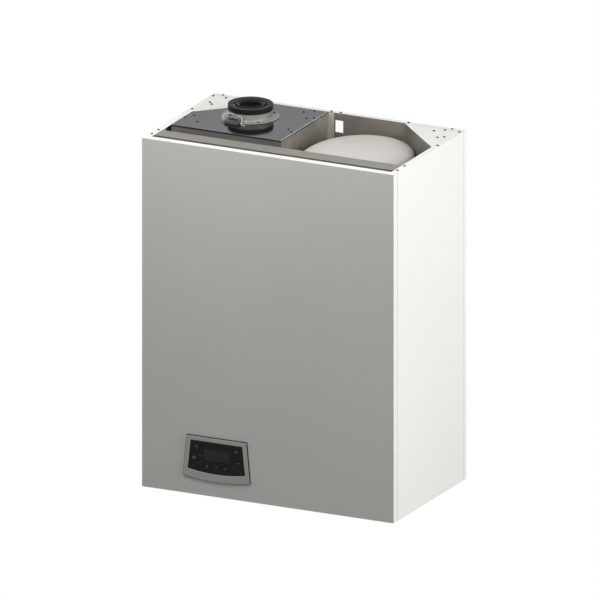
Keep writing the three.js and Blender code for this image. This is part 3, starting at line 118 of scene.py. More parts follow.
NOISE_LOW, NOISE_HIGH = 0.35, 0.65    # the band of the noise that is spread over 0 to 1
PATCH_DETAIL, GRAIN_DETAIL = 4.0, 3.0
GLOSS_PER_PATCH = 5                   # uneven gloss is this much finer than the colour's patches


def linear(red, green, blue):
    """A colour written as sRGB numbers from 0 to 255, as linear light."""
    def channel(value):
        share = value / 255
        return share / 12.92 if share <= 0.04045 else ((share + 0.055) / 1.055) ** 2.4
    return (channel(red), channel(green), channel(blue), 1)


def node(tree, kind, **values):
    """A new shader node with its settings."""
    made = tree.nodes.new(kind)
    for key, value in values.items():
        setattr(made, key, value)
    return made


def noise_factor(tree, scale, stretch, detail=PATCH_DETAIL):
    """A noise pattern fixed to the object, spread over 0 to 1."""
    place = node(tree, "ShaderNodeTexCoord")
    mapping = node(tree, "ShaderNodeMapping")
    mapping.inputs["Scale"].default_value = stretch
    noise = node(tree, "ShaderNodeTexNoise")
    noise.inputs["Scale"].default_value = scale
    noise.inputs["Detail"].default_value = detail
    spread = node(tree, "ShaderNodeMapRange")
    spread.inputs["From Min"].default_value = NOISE_LOW
    spread.inputs["From Max"].default_value = NOISE_HIGH
    tree.links.new(place.outputs["Object"], mapping.inputs["Vector"])
    tree.links.new(mapping.outputs["Vector"], noise.inputs["Vector"])
    tree.links.new(noise.outputs["Fac"], spread.inputs["Value"])
    return spread.outputs["Result"]


def surface(name, colour, second, rough, patch, grain, relief, rough_spread=0.06, metal=0.0,
            relief_depth=0.2 * MM, stretch=(1, 1, 1), specular=0.5, edge_tint=1.0):
    """A finish: two near colours in soft patches, uneven gloss, and a fine relief."""
    material = bpy.data.materials.new(name)
    material.use_nodes = True
    tree = material.node_tree
    shader = tree.nodes["Principled BSDF"]
    shader.inputs["Metallic"].default_value = metal
    shader.inputs["Specular IOR Level"].default_value = specular
    shader.inputs["Specular Tint"].default_value = (edge_tint, edge_tint, edge_tint, 1)
    patches = noise_factor(tree, patch, stretch)
    mix = node(tree, "ShaderNodeMix", data_type="RGBA")
    mix.inputs["A"].default_value = linear(*colour)
    mix.inputs["B"].default_value = linear(*second)
    tree.links.new(patches, mix.inputs["Factor"])
    tree.links.new(mix.outputs["Result"], shader.inputs["Base Color"])
    gloss = node(tree, "ShaderNodeMapRange")
    gloss.inputs["To Min"].default_value = rough - rough_spread
    gloss.inputs["To Max"].default_value = rough + rough_spread
    gloss_patches = noise_factor(tree, patch * GLOSS_PER_PATCH, stretch)
    tree.links.new(gloss_patches, gloss.inputs["Value"])
    tree.links.new(gloss.outputs["Result"], shader.inputs["Roughness"])
    bump = node(tree, "ShaderNodeBump")
    bump.inputs["Strength"].default_value = relief
    bump.inputs["Distance"].default_value = relief_depth
    grains = noise_factor(tree, grain, stretch, GRAIN_DETAIL)
    tree.links.new(grains, bump.inputs["Height"])
    tree.links.new(bump.outputs["Normal"], shader.inputs["Normal"])
    return material


FINISH_VALUES = {
    # painted shade: the front panel is white paint like its returns; this grey stands in for the
    # shade its face lies in
    "silver_paint": dict(
        colour=(184, 184, 179), second=(180, 180, 175), rough=0.36, rough_spread=0.02,
        patch=2.0, grain=2600, relief=0.10, relief_depth=0.05 * MM),
    "white_paint": dict(
        colour=(243, 243, 237), second=(240, 240, 234), rough=0.42, rough_spread=0.03,
        patch=2.0, grain=1500, relief=0.06, relief_depth=0.05 * MM),
    "galvanised_steel": dict(
        colour=(134, 130, 124), second=(128, 124, 117), rough=0.42, metal=0.5,
        patch=34, grain=420, relief=0.12, relief_depth=0.1 * MM),
    "plate_steel": dict(
        colour=(98, 100, 103), second=(93, 95, 99), rough=0.1, rough_spread=0.02, metal=0.95,
        patch=5, grain=1400, relief=0.03, relief_depth=0.05 * MM, edge_tint=0.75),
    "cast_aluminium": dict(
        colour=(152, 150, 144), second=(136, 134, 128), rough=0.5, metal=0.3,
        patch=60, grain=1800, relief=0.2, relief_depth=0.1 * MM, specular=0.3),
    "stainless": dict(
        colour=(178, 179, 180), second=(164, 165, 166), rough=0.28, metal=0.85,
        patch=30, grain=900, relief=0.1, stretch=(1, 1, 12)),
    "foam": dict(
        colour=(208, 206, 200), second=(202, 199, 192), rough=0.65,
        patch=9, grain=1100, relief=0.10, relief_depth=0.12 * MM, specular=0.3),
    "black_rubber": dict(
        colour=(22, 22, 22), second=(17, 17, 17), rough=0.5,
        patch=40, grain=1600, relief=0.2, relief_depth=0.1 * MM, specular=0.14),
    "black_plastic": dict(
        colour=(32, 31, 31), second=(26, 26, 26), rough=0.42,
        patch=40, grain=2200, relief=0.25, relief_depth=0.08 * MM, specular=0.25),
    "grey_plastic": dict(
        colour=(158, 158, 156), second=(152, 152, 150), rough=0.42,
        patch=12, grain=2400, relief=0.18, relief_depth=0.06 * MM, specular=0.35),
    "gloss_black": dict(
        colour=(20, 20, 19), second=(17, 17, 17), rough=0.2, rough_spread=0.03,
        patch=10, grain=900, relief=0.02, specular=0.12),
    "display": dict(
        colour=(41, 41, 39), second=(37, 37, 35), rough=0.12, rough_spread=0.02,
        patch=30, grain=900, relief=0.01, specular=0.12),
    "copper": dict(
        colour=(190, 126, 92), second=(168, 104, 74), rough=0.3, metal=0.9,
        patch=25, grain=700, relief=0.1),
    "brass": dict(
        colour=(184, 156, 96), second=(170, 141, 84), rough=0.34, metal=0.9,
        patch=40, grain=900, relief=0.15),
    "red_paint": dict(
        colour=(158, 40, 32), second=(146, 34, 28), rough=0.38,
        patch=8, grain=1200, relief=0.08),
    "red_plastic": dict(
        colour=(172, 44, 36), second=(160, 38, 31), rough=0.42,
        patch=30, grain=2000, relief=0.2),
    "circuit": dict(
        colour=(34, 100, 62), second=(30, 88, 55), rough=0.4,
        patch=60, grain=1500, relief=0.1),
    "ceramic": dict(
        colour=(236, 232, 220), second=(228, 223, 210), rough=0.3,
        patch=60, grain=1500, relief=0.05),
    "dark_screw": dict(
        colour=(34, 33, 31), second=(26, 25, 24), rough=0.45, metal=0.1,
        patch=300, grain=4000, relief=0.15, relief_depth=0.05 * MM, specular=0.12),
    "icon_ink": dict(
        colour=(128, 128, 125), second=(116, 117, 114), rough=0.5,
        patch=200, grain=4000, relief=0.02, specular=0.2),
    "faint_ink": dict(
        colour=(82, 82, 80), second=(76, 76, 74), rough=0.5,
        patch=200, grain=4000, relief=0.02, specular=0.2),
    "smoke_plastic": dict(
        colour=(84, 82, 84), second=(76, 74, 76), rough=0.4,
        patch=60, grain=1500, relief=0.12, specular=0.3),
    # painted light: lighter zinc on the air box's side walls, for the light the tank sends back
    # onto them
    "warm_zinc_painted_bounce": dict(
        colour=(154, 148, 139), second=(147, 141, 131), rough=0.42, metal=0.5,
        patch=34, grain=420, relief=0.12, relief_depth=0.1 * MM),
    # bright zinc of the cover screws; on the air box's rear flange it is painted light from the
    # tank, on the plate's lip a painted highlight
    "zinc_bright": dict(
        colour=(214, 211, 203), second=(196, 193, 186), rough=0.3, metal=0.5,
        patch=18, grain=600, relief=0.1, relief_depth=0.1 * MM),
    "milky_plastic": dict(
        colour=(205, 206, 203), second=(192, 193, 190), rough=0.25,
        patch=80, grain=1500, relief=0.05),
}
FINISHES = {name: surface(name, **values) for name, values in FINISH_VALUES.items()}
SLOT_OF_NODE = {row["node"]: row["material_slot"] for row in frame["record"]["subparts"]}


def paint(piece, slot_name):
    """Gives the piece one finish."""
    piece.data.materials.clear()
    piece.data.materials.append(FINISHES[slot_name])


for name, cad in frame["nodes"].items():
    paint(cad, SLOT_OF_NODE[name])

# ---- mesh helpers --------------------------------------------------------------------------

WELD = 1e-6
ON_AXIS = 1e-7
FLAT_ANGLE = 0.5                      # degrees; faces closer than this are one flat face
ROLLED_ANGLE = 40                     # degrees; edges sharper than this are rolled


def body_of_node(name):
    """The CAD body that holds a node."""
    bodies = frame["record"]["behaviour"]["bodies"]
    return next(body for body, nodes in bodies.items() if name in nodes)


def made_piece(name, mesh, slot_name, body=ROOT, sharp=30):
    """Links a mesh as a piece of the object: smooth but for its sharp edges."""
    mesh.shade_smooth()
    mesh.set_sharp_from_angle(angle=math.radians(sharp))
    piece = bpy.data.objects.new(name, mesh)
    bpy.context.scene.collection.objects.link(piece)
    paint(piece, slot_name)
    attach(piece, body)
    return piece


def mesh_of(bm, name):
    """The finished mesh, its faces turned outward."""
    bmesh.ops.recalc_face_normals(bm, faces=bm.faces)
    mesh = bpy.data.meshes.new(name)
    bm.to_mesh(mesh)
    bm.free()
    return mesh


def softened(node_name, width, segments=2, others=(), pick=None):
    """The CAD node with its sharp edges rolled to a small radius, in its place.

    pick(polygon) says which finish a face takes: 0 for the node's own, 1 and up for the others.
    """
    source = frame["nodes"][node_name]
    bm = bmesh.new()
    bm.from_mesh(source.data)
    bmesh.ops.remove_doubles(bm, verts=bm.verts, dist=WELD)
    bmesh.ops.dissolve_limit(bm, angle_limit=math.radians(FLAT_ANGLE), verts=bm.verts,
                             edges=bm.edges)
    skin_name = node_name + "_skin"
    piece = made_piece(skin_name, mesh_of(bm, skin_name), SLOT_OF_NODE[node_name],
                       body_of_node(node_name))
    bevel = piece.modifiers.new("edge", "BEVEL")
    bevel.width = width
    bevel.segments = segments
    bevel.limit_method = "ANGLE"
    bevel.angle_limit = math.radians(ROLLED_ANGLE)
    bevel.use_clamp_overlap = True
    bevel.harden_normals = True
    if others:
        for other in others:
            piece.data.materials.append(FINISHES[other])
        for polygon in piece.data.polygons:
            polygon.material_index = int(pick(polygon))
    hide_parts(node_name)


def turned(name, profile, centre, slot_name, node_name=None, body=ROOT, segments=160, stretch=1.0,
           sharp=35, axis="Z"):
    """A closed profile of (radius, height) turned about an upright axis; stretch widens it along Y.

    With axis "Y" the axis runs to the front: centre is (x, z) and a height is a place along Y.
    """
    def place(across, along, height):
        return (across, height, along) if axis == "Y" else (across, along, height)

    bm = bmesh.new()
    rings = []
    for radius, height in profile:
        if radius < ON_AXIS:
            rings.append([bm.verts.new(place(centre[0], centre[1], height))])
            continue
        rings.append([
            bm.verts.new(place(
                centre[0] + radius * math.cos(2 * math.pi * i / segments),
                centre[1] + radius * stretch * math.sin(2 * math.pi * i / segments),
                height,
            ))
            for i in range(segments)
        ])
    closed = len(rings[0]) > 1 and len(rings[-1]) > 1
    pairs = list(zip(rings, rings[1:])) + ([(rings[-1], rings[0])] if closed else [])
    for low, high in pairs:
        for i in range(segments):
            j = (i + 1) % segments
            corners = [low[i % len(low)], low[j % len(low)],
                       high[j % len(high)], high[i % len(high)]]
            corners = list(dict.fromkeys(corners))
            if len(corners) > 2:
                bm.faces.new(corners)
    piece = made_piece(name, mesh_of(bm, name), slot_name, body, sharp)
    if node_name:
        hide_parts(node_name)


def arc(centre_radius, centre_height, radius, start, end, steps=6):
    """Points of (radius, height) on an arc, its angles in degrees."""
    angles = [math.radians(start + (end - start) * i / steps) for i in range(steps + 1)]
    return [(centre_radius + radius * math.cos(angle), centre_height + radius * math.sin(angle))
            for angle in angles]


def stud_profile(foot, radius, side, height, chamfer):
    """The profile of a flat stud with a bevelled rim: side is the height of its upright wall."""
    return [(0, foot), (radius, foot), (radius, foot + side), (radius - chamfer, foot + height),
            (0, foot + height)]


def rolled_box(name, low, high, roll, segments, slot_name):
    """A box between two corners, its edges rolled."""
    bm = bmesh.new()
    bmesh.ops.create_cube(bm, size=1)
    for vert in bm.verts:
        vert.co = [low[k] + (vert.co[k] + 0.5) * (high[k] - low[k]) for k in range(3)]
    bmesh.ops.bevel(bm, geom=bm.edges[:], offset=roll, segments=segments, affect="EDGES",
                    profile=0.5)
    made_piece(name, mesh_of(bm, name), slot_name, sharp=60)


# ---- sheet metal and other nodes with rolled edges -----------------------------------------

ROLL_MM = {
    "left_side_panel": 0.5, "right_side_panel": 0.5, "front_top_rail": 0.5,
    "airbox_front_cover": 0.4, "airbox_top_plate": 0.4, "bottom_plate": 0.4, "tank_shelf": 0.4,
    "control_bezel": 1.2, "control_fascia": 0.3, "control_housing": 1.0,
}
PANEL_ROLL, FRONT_ROLL, BLOCK_ROLL = 0.4 * MM, 0.9 * MM, 0.6 * MM
KEY_ROLL, INNER_ROLL = 0.35 * MM, 0.25 * MM
REBUILT = ("flue_flange", "flue_outer_ring", "flue_lip_seal", "tank_jacket")

LOOKS_THAT_WAY = 0.5                  # least part of a normal along the axis that a face looks to
LEANS_FORWARD = 0.3
RIM_DEPTH = 2 * MM
SHELL_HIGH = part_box("airbox_shell")[1]
SHELL_FLANGE = 18 * MM


def zinc_and_shade_face(polygon):
    """The zinc side of a painted corner plate, which looks to the front, not up; its darker zinc is
    also painted shade, for the shadow on that face.
    """
    return polygon.normal.y < -LEANS_FORWARD and abs(polygon.normal.z) < LOOKS_THAT_WAY


def rim_of(node_name):
    """A test for the faces on a panel's outer rim: its sides, top and foot, not its holes."""
    low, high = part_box(node_name)

    def on_rim(polygon):
        centre, normal = polygon.center, polygon.normal
        to_side = min(centre.x - low.x, high.x - centre.x)
        beside = abs(normal.x) > LOOKS_THAT_WAY and to_side < RIM_DEPTH
        above = normal.z > LOOKS_THAT_WAY and high.z - centre.z < RIM_DEPTH
        below = normal.z < -LOOKS_THAT_WAY and centre.z - low.z < RIM_DEPTH
        return beside or above or below
    return on_rim


def shell_bounce_light_pick(polygon):
    """Painted light: the air box's side walls take a lighter, warmer zinc and its rear flange by
    the tank a bright zinc, for the light the white tank sends onto them.
    """
    if polygon.normal.y < -LOOKS_THAT_WAY and SHELL_HIGH.x - polygon.center.x < SHELL_FLANGE:
        return 2
    return abs(polygon.normal.x) > LOOKS_THAT_WAY


for sheet_node, roll_mm in ROLL_MM.items():
    softened(sheet_node, roll_mm * MM)
for corner_plate in ("rear_left_gusset", "rear_right_gusset"):
    softened(corner_plate, PANEL_ROLL, others=["galvanised_steel"], pick=zinc_and_shade_face)
softened("back_panel", PANEL_ROLL, others=["white_paint"], pick=rim_of("back_panel"))
# The front face keeps the grey silver_paint, painted shade on a panel that is white; its rim takes
# the white.
softened("front_panel", FRONT_ROLL, others=["white_paint"], pick=rim_of("front_panel"))
# The air box's side walls and rear flange take lighter zinc: painted light, for the light the white
# tank sends onto them.
softened("airbox_shell", PANEL_ROLL, others=["warm_zinc_painted_bounce", "zinc_bright"], pick=shell_bounce_light_pick)
softened("flue_test_block", BLOCK_ROLL, others=["smoke_plastic"], pick=lambda polygon: 1)
for key_node in [name for name in frame["nodes"] if name.startswith("key_")]:
    softened(key_node, KEY_ROLL)
for inner_node in frame["nodes"]:
    if inner_node not in REBUILT and not frame["nodes"][inner_node].hide_render:
        softened(inner_node, INNER_ROLL, segments=1)

# ---- flue socket ---------------------------------------------------------------------------

FLANGE_THICK = 1.8 * MM
SEAL_PROUD = 1 * MM                   # the seal's rim stands over the ring
RING_FACE_DROP = 0.4 * MM             # the ring's flat face lies under its rolled edge


def flue_flange():
    """The cast flange: a thin disc with a round edge, and the collar under the ring."""
    low, high = FLANGE_LOW.z, FLANGE_HIGH.z
    edge = (FLANGE_HIGH.x - FLANGE_LOW.x) / 2
    bore, collar = 49 * MM, 53 * MM
    foot_set_in, edge_roll, fillet, lip = 0.3 * MM, FLANGE_THICK / 2, 3 * MM, 0.4 * MM
    top = low + FLANGE_THICK
    profile = [(bore, low), (edge - foot_set_in, low)]
    profile += arc(edge - edge_roll, low + edge_roll, edge_roll, -70, 90)
    profile += [(collar + fillet, top)]
    profile += arc(collar + fillet, top + fillet, fillet, 270, 180)
    profile += [(collar, high - lip), (collar - lip, high), (bore, high)]
    turned("flue_flange_fine", profile, FLUE, "cast_aluminium", "flue_flange")


def flue_ring():
    """The black socket ring: a flat face, a rolled edge, a groove near its foot, a cut mouth."""
    low, high = RING_LOW.z, RING_HIGH.z - SEAL_PROUD
    outer = (RING_HIGH.x - RING_LOW.x) / 2
    bore, mouth, mouth_depth = 42.5 * MM, 39 * MM, 3 * MM
    chamfer, groove = 0.8 * MM, 0.6 * MM
    groove_foot, groove_top = low + 3 * MM, low + 5 * MM
    roll, rim, face = 1.6 * MM, 3.4 * MM, high - RING_FACE_DROP
    profile = [(bore, low), (outer - chamfer, low), (outer, low + chamfer), (outer, groove_foot)]
    profile += arc(outer, groove_foot + groove, groove, 270, 180, 3)
    profile += [(outer - groove, groove_top - groove), (outer, groove_top)]
    profile += arc(outer - roll, high - roll, roll, 0, 90)
    profile += [(outer - rim, face), (mouth + chamfer, face), (mouth, face - chamfer)]
    profile += [(mouth, high - mouth_depth), (bore, high - mouth_depth)]
    turned("flue_outer_ring_fine", profile, FLUE, "black_rubber", "flue_outer_ring")


def lip_seal():
    """The rubber lip seal: a rolled rim, a cone down to the lip, and the grip in the socket."""
    low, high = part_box("flue_lip_seal")[0].z, RING_HIGH.z
    outer, mouth, grip = 36 * MM, 25.5 * MM, 30.3 * MM
    roll, rim = 1 * MM, 3 * MM
    cone_across, cone_depth, lip_depth = 1.6 * MM, 3.4 * MM, 4.6 * MM
    step = low + 6 * MM
    profile = [(grip, low), (outer, low)]
    profile += arc(outer - roll, high - roll, roll, 0, 90)
    profile += [(outer - rim, high), (mouth + cone_across, high - cone_depth)]
    profile += arc(mouth + roll, high - lip_depth, roll, 60, 180)
    profile += [(mouth, step), (grip, step)]
    turned("flue_lip_seal_fine", profile, FLUE, "black_rubber", "flue_lip_seal", segments=128)


def socket_latches():
    """Two locking seats in the ring's mouth, the left one with its pale pin."""
    seat_circle, sunk = 41.2 * MM, 0.1 * MM
    seat_foot = RING_HIGH.z - SEAL_PROUD - RING_FACE_DROP - sunk
    seat = stud_profile(foot=seat_foot, radius=2.6 * MM, side=0.4 * MM, height=0.6 * MM,
                        chamfer=0.4 * MM)
    pin = stud_profile(foot=seat_foot + 0.6 * MM - sunk, radius=1.3 * MM, side=0.4 * MM,
                       height=0.7 * MM, chamfer=0.3 * MM)
    for latch_name, degrees in (("left", 226), ("right", 18)):
        angle = math.radians(degrees)
        centre = (FLUE.x + seat_circle * math.cos(angle), FLUE.y + seat_circle * math.sin(angle))
        turned("socket_latch_" + latch_name, seat, centre, "gloss_black", segments=24)
        if latch_name == "left":
            turned("socket_latch_pin", pin, centre, "milky_plastic", segments=20)


flue_flange()
flue_ring()
lip_seal()
socket_latches()

# ---- tank ----------------------------------------------------------------------------------


def tank_jacket():
    """The foam jacket: upright oval walls, a full crown and a rounded foot."""
    half = (TANK_HIGH - TANK_LOW) / 2
    centre = (TANK_HIGH + TANK_LOW) / 2
    rise = 32 * MM
    rim = TANK_HIGH.z - rise
    foot = TANK_LOW.z
    steps = 24
    fullness = 2 / 2.25                # 1 would be an ellipse; less swells it outward
    foot_round = ((0.9, 0), (0.96, 2 * MM), (1, 10 * MM))
    turns = [math.pi / 2 * i / steps for i in range(steps)]
    profile = [(0, foot)] + [(half.x * share, foot + height) for share, height in foot_round]
    profile += [(half.x * math.cos(turn) ** fullness, rim + rise * math.sin(turn) ** fullness)
                for turn in turns]
    profile += [(0, TANK_HIGH.z)]
    turned("tank_jacket_fine", profile, centre, "foam", "tank_jacket", stretch=half.y / half.x,
           sharp=60)


tank_jacket()

# ---- screws and small fittings -------------------------------------------------------------

SCREW_RADIUS = 3.3 * MM
PLATE_SCREW_RADIUS = 2.8 * MM
FLANGE_SCREW_RADIUS = 3.2 * MM
FLANGE_SCREW_CIRCLE = 60 * MM

# Places on the case's top, as (x, y) in millimetres.
TOP_SCREWS_MM = (
    (-303.7, -7), (-322, -22), (-288, -23), (-307, -70), (-297, -82), (-322, -135),
    (-322, -315), (-322, -351), (-19, -7), (5.3, -7), (182.5, -7),
    (264, -38), (285, -21), (297, -7), (322, -20), (294, -80), (307, -70), (322, -136),
    (322, -313), (322, -352),
)
PLATE_SCREWS_MM = (
    (-310, -198), (-295.8, -177.4), (-267.4, -218.8), (-76, -40.4), (-56.5, -23), (-47.7, -82.8),
    (-33.4, -71.4), (-48.8, -177.6), (-34.1, -192),
)

PAN_HEIGHT = 0.6                      # of the head's radius
PAN_DOME = (0.3, 0.7, 1.1)            # radians up the head's round side
PAN_RECESS = ((0.3, 1), (0.22, 0.55), (0, 0.5))    # as shares of (radius, height)

# Half of a cover screw's outline, as shares of its radius: (distance from the axis, height).
COVER_HEAD = ((0, 0), (1, 0), (0.95, 0.2), (0.75, 0.42), (0.3, 0.6), (0.22, 0.3), (0, 0.28))


def pan_screw(name, x, y, foot, radius):
    """A low pan head with a small recess, standing on a face that looks up."""
    height = radius * PAN_HEIGHT
    profile = [(0, foot), (radius, foot)]
    profile += [(radius * math.cos(t), foot + height * math.sin(t)) for t in PAN_DOME]
    profile += [(radius * across, foot + height * up) for across, up in PAN_RECESS]
    turned(name, profile, (x, y), "dark_screw", segments=20, sharp=50)


def cover_screws():
    """Pan heads down both sides and along the foot of the air box's front cover."""
    low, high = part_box("airbox_front_cover")
    face, inset = low.y, 7 * MM
    across, upright = 4, 5
    width, height = high.x - low.x - 2 * inset, high.z - low.z - 2 * inset
    spots = [(low.x + inset + width * i / (across - 1), low.z + inset) for i in range(across)]
    spots += [(x, low.z + inset + height * i / upright)
              for i in range(1, upright) for x in (low.x + inset, high.x - inset)]
    profile = [(PLATE_SCREW_RADIUS * from_axis, face - PLATE_SCREW_RADIUS * proud)
               for from_axis, proud in COVER_HEAD]
    for index, spot in enumerate(spots):
        turned("cover_screw_%02d" % index, profile, spot, "zinc_bright", segments=20, sharp=50,
               axis="Y")


for index, (x, y) in enumerate(TOP_SCREWS_MM):
    pan_screw("case_screw_%02d" % index, x * MM, y * MM, CASE_TOP, SCREW_RADIUS)
for index, (x, y) in enumerate(PLATE_SCREWS_MM):
    pan_screw("plate_screw_%02d" % index, x * MM, y * MM, CASE_TOP, PLATE_SCREW_RADIUS)
for degrees in (46, 134, -46):
    angle = math.radians(degrees)
    pan_screw("flange_screw_%d" % degrees, FLUE.x + FLANGE_SCREW_CIRCLE * math.cos(angle),
              FLUE.y + FLANGE_SCREW_CIRCLE * math.sin(angle), FLANGE_LOW.z + FLANGE_THICK,
              FLANGE_SCREW_RADIUS)
cover_screws()


def door_shade_strips():
    """Painted shade: black strips in the joint between the front panel and the side panels, dark as
    the shade in the narrow gap.
    """
    side_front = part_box("right_side_panel")[0].y
    width, set_in, play, end_gap, roll = 2.6 * MM, 0.4 * MM, 0.1 * MM, 1 * MM, 0.15 * MM
    for side_name, left_edge in (
        ("left", CASE_LEFT + set_in), ("right", CASE_RIGHT - set_in - width),
    ):
        low = (left_edge, FRONT_HIGH.y + play, CASE_BOTTOM + end_gap)
        high = (left_edge + width, side_front - play, CASE_TOP - end_gap)
        rolled_box("door_shade_strip_" + side_name, low, high, roll, 1, "black_rubber")


door_shade_strips()


def stub_foot(node_name):
    """Centre and radius of the stub that a node sends down through the bottom plate."""
    mesh = frame["nodes"][node_name].data
    low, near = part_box(node_name)[0].z, 1 * MM
    ends = [vert.co for vert in mesh.vertices if vert.co.z < low + near]
    x = (min(end.x for end in ends) + max(end.x for end in ends)) / 2
    y = (min(end.y for end in ends) + max(end.y for end in ends)) / 2
    return x, y, max(math.hypot(end.x - x, end.y - y) for end in ends)


def back_nut(stub_node, centre, radius, plate):
    """The hexagonal nut under the bottom plate; gives back the height of its foot."""
    play, wall, depth, chamfer = 0.1 * MM, 5.2 * MM, 7.5 * MM, 0.9 * MM
    bore, corner = radius + play, radius + wall
    top, foot = plate - play, plate - depth
    profile = [(bore, top), (corner, top), (corner, foot + chamfer), (corner - chamfer, foot),
               (bore, foot)]
    turned(stub_node + "_nut", profile, centre, "brass", segments=6, sharp=25)
    return foot


def stub_thread(stub_node, centre, radius, top):
    """The thread from the stub's end up to just under its nut."""
    bore, wall, root = radius + 0.1 * MM, 0.4 * MM, 0.05 * MM
    pitch, depth, plain_end, run_out = 1.6 * MM, 0.45 * MM, 1.5 * MM, 4 * MM
    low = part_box(stub_node)[0].z
    start = low + plain_end
    profile = [(bore, start)]
    for turn in range(int((top - low - run_out) / pitch)):
        rise = start + turn * pitch
        profile += [(bore + depth, rise + pitch / 2), (bore + root, rise + pitch)]
    profile += [(bore - wall, profile[-1][1]), (bore - wall, start)]
    turned(stub_node + "_thread", profile, centre, "brass", segments=40, sharp=25)


def pipe_fittings():
    """Under the bottom plate each stub has its back nut; the brass ones end in a thread."""
    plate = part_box("bottom_plate")[0].z
    for stub_node in ("pump_body", "diverter_valve", "relief_valve", "cold_water_pipe",
                      "hot_water_pipe", "gas_pipe"):
        x, y, radius = stub_foot(stub_node)
        nut_foot = back_nut(stub_node, (x, y), radius, plate)
        if SLOT_OF_NODE[stub_node] == "brass":
            stub_thread(stub_node, (x, y), radius, nut_foot)


pipe_fittings()


def cap_dots():
    """The small pale centre on each test cap."""
    for cap_node in ("test_cap_left", "test_cap_right"):
        low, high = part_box(cap_node)
        centre = ((low.x + high.x) / 2, (low.y + high.y) / 2)
        profile = stud_profile(foot=high.z - 0.2 * MM, radius=1.5 * MM, side=0.5 * MM,
                               height=0.7 * MM, chamfer=0.3 * MM)
        turned(cap_node + "_dot", profile, centre, "milky_plastic",
               body=body_of_node(cap_node), segments=20)


def plate_lip_highlight():
    """The folded lip along the top plate's right side; its bright zinc is a painted highlight, for
    the light the bent edge catches.
    """
    width, thick, end_gap, roll = 1.6 * MM, 0.8 * MM, 0.5 * MM, 0.3 * MM
    low = (PLATE_HIGH.x - width, PLATE_LOW.y + end_gap, PLATE_HIGH.z)
    high = (PLATE_HIGH.x, PLATE_HIGH.y - end_gap, PLATE_HIGH.z + thick)
    rolled_box("plate_lip_highlight", low, high, roll, 2, "zinc_bright")


def bent_rod(name, places_mm, radius):
    """A rounded rod of clear plastic along a smooth line.

    Each place is (x, y, height above the case's foot), in millimetres.
    """
    curve = bpy.data.curves.new(name + "_line", "CURVE")
    curve.dimensions = "3D"
    curve.resolution_u = 10
    spline = curve.splines.new("BEZIER")
    spline.bezier_points.add(len(places_mm) - 1)
    for point, (x, y, z) in zip(spline.bezier_points, places_mm):
        point.co = (x * MM, y * MM, local(z))
        point.handle_left_type = point.handle_right_type = "AUTO"
    curve.bevel_depth = radius
    curve.bevel_resolution = 4
    curve.use_fill_caps = True
    holder = bpy.data.objects.new(name + "_line", curve)
    bpy.context.scene.collection.objects.link(holder)
    shown = holder.evaluated_get(bpy.context.evaluated_depsgraph_get())
    mesh = bpy.data.meshes.new_from_object(shown)
    bpy.data.objects.remove(holder)
    mesh.name = name
    made_piece(name, mesh, "milky_plastic", sharp=40)


def cap_tether():
    """The clear strap of the test caps: a ring behind the block, and an arm round each side."""
    x, y, z = -212, -171, 876          # the ring's centre
    ring_radius, tube = 3.2 * MM, 0.8 * MM
    right_arm = (
        (x + 2.6, y + 0.4, z + 0.6), (-203, -170.6, 877), (-193, -172.5, 875),
        (-180, -176.3, 874), (-171, -179, 873), (-166.8, -186, 869), (-164.5, -195, 864),
        (-160, -200.5, 862.6), (-151, -203.5, 862.4),
    )
    left_arm = ((x - 2.6, y - 0.6, z), (-218, -176, 873), (-219, -184, 867), (-212, -187, 864.6))
    bent_rod("cap_tether", right_arm, 1.1 * MM)
    bent_rod("cap_tether_left", left_arm, 0.9 * MM)
    profile = arc(ring_radius, local(z), tube, 0, 330, 11)
    turned("cap_tether_ring", profile, (x * MM, y * MM), "milky_plastic", segments=28)


cap_dots()
plate_lip_highlight()
cap_tether()

# ---- control panel -------------------------------------------------------------------------

INK_PROUD = 0.12 * MM
KEY_MARK_WIDTH = 0.95


def ink(name, body, place_mm, strokes, width_mm, face_y, slot_name):
    """Thin raised marks on a face that looks to the front.

    Strokes are lines of (x, z) points in millimetres, round a place that is measured from the
    panel's middle and the case's foot.
    """
    bm = bmesh.new()
    half = width_mm / 2
    for line in strokes:
        for (x0, z0), (x1, z1) in zip(line, line[1:]):
            length = math.hypot(x1 - x0, z1 - z0)
            ux, uz = (x1 - x0) / length * half, (z1 - z0) / length * half
            corners = [(x0 - ux - uz, z0 - uz + ux), (x0 - ux + uz, z0 - uz - ux),
                       (x1 + ux + uz, z1 + uz - ux), (x1 + ux - uz, z1 + uz + ux)]
            front, back = (
                [bm.verts.new((PANEL_X + (place_mm[0] + x) * MM, y, local(place_mm[1] + z)))
                 for x, z in corners]
                for y in (face_y - INK_PROUD, face_y)
            )
            bm.faces.new(front)
            bm.faces.new(back[::-1])
            for i in range(4):
                j = (i + 1) % 4
                bm.faces.new((front[j], front[i], back[i], back[j]))
    made_piece(name, mesh_of(bm, name), slot_name, body)


def ring_line(radius, start, end, steps=20, cx=0.0, cz=0.0):
    """Points of (x, z) on an arc, its angles in degrees."""
    angles = [math.radians(start + (end - start) * i / steps) for i in range(steps + 1)]
    return [(cx + radius * math.cos(angle), cz + radius * math.sin(angle)) for angle in angles]


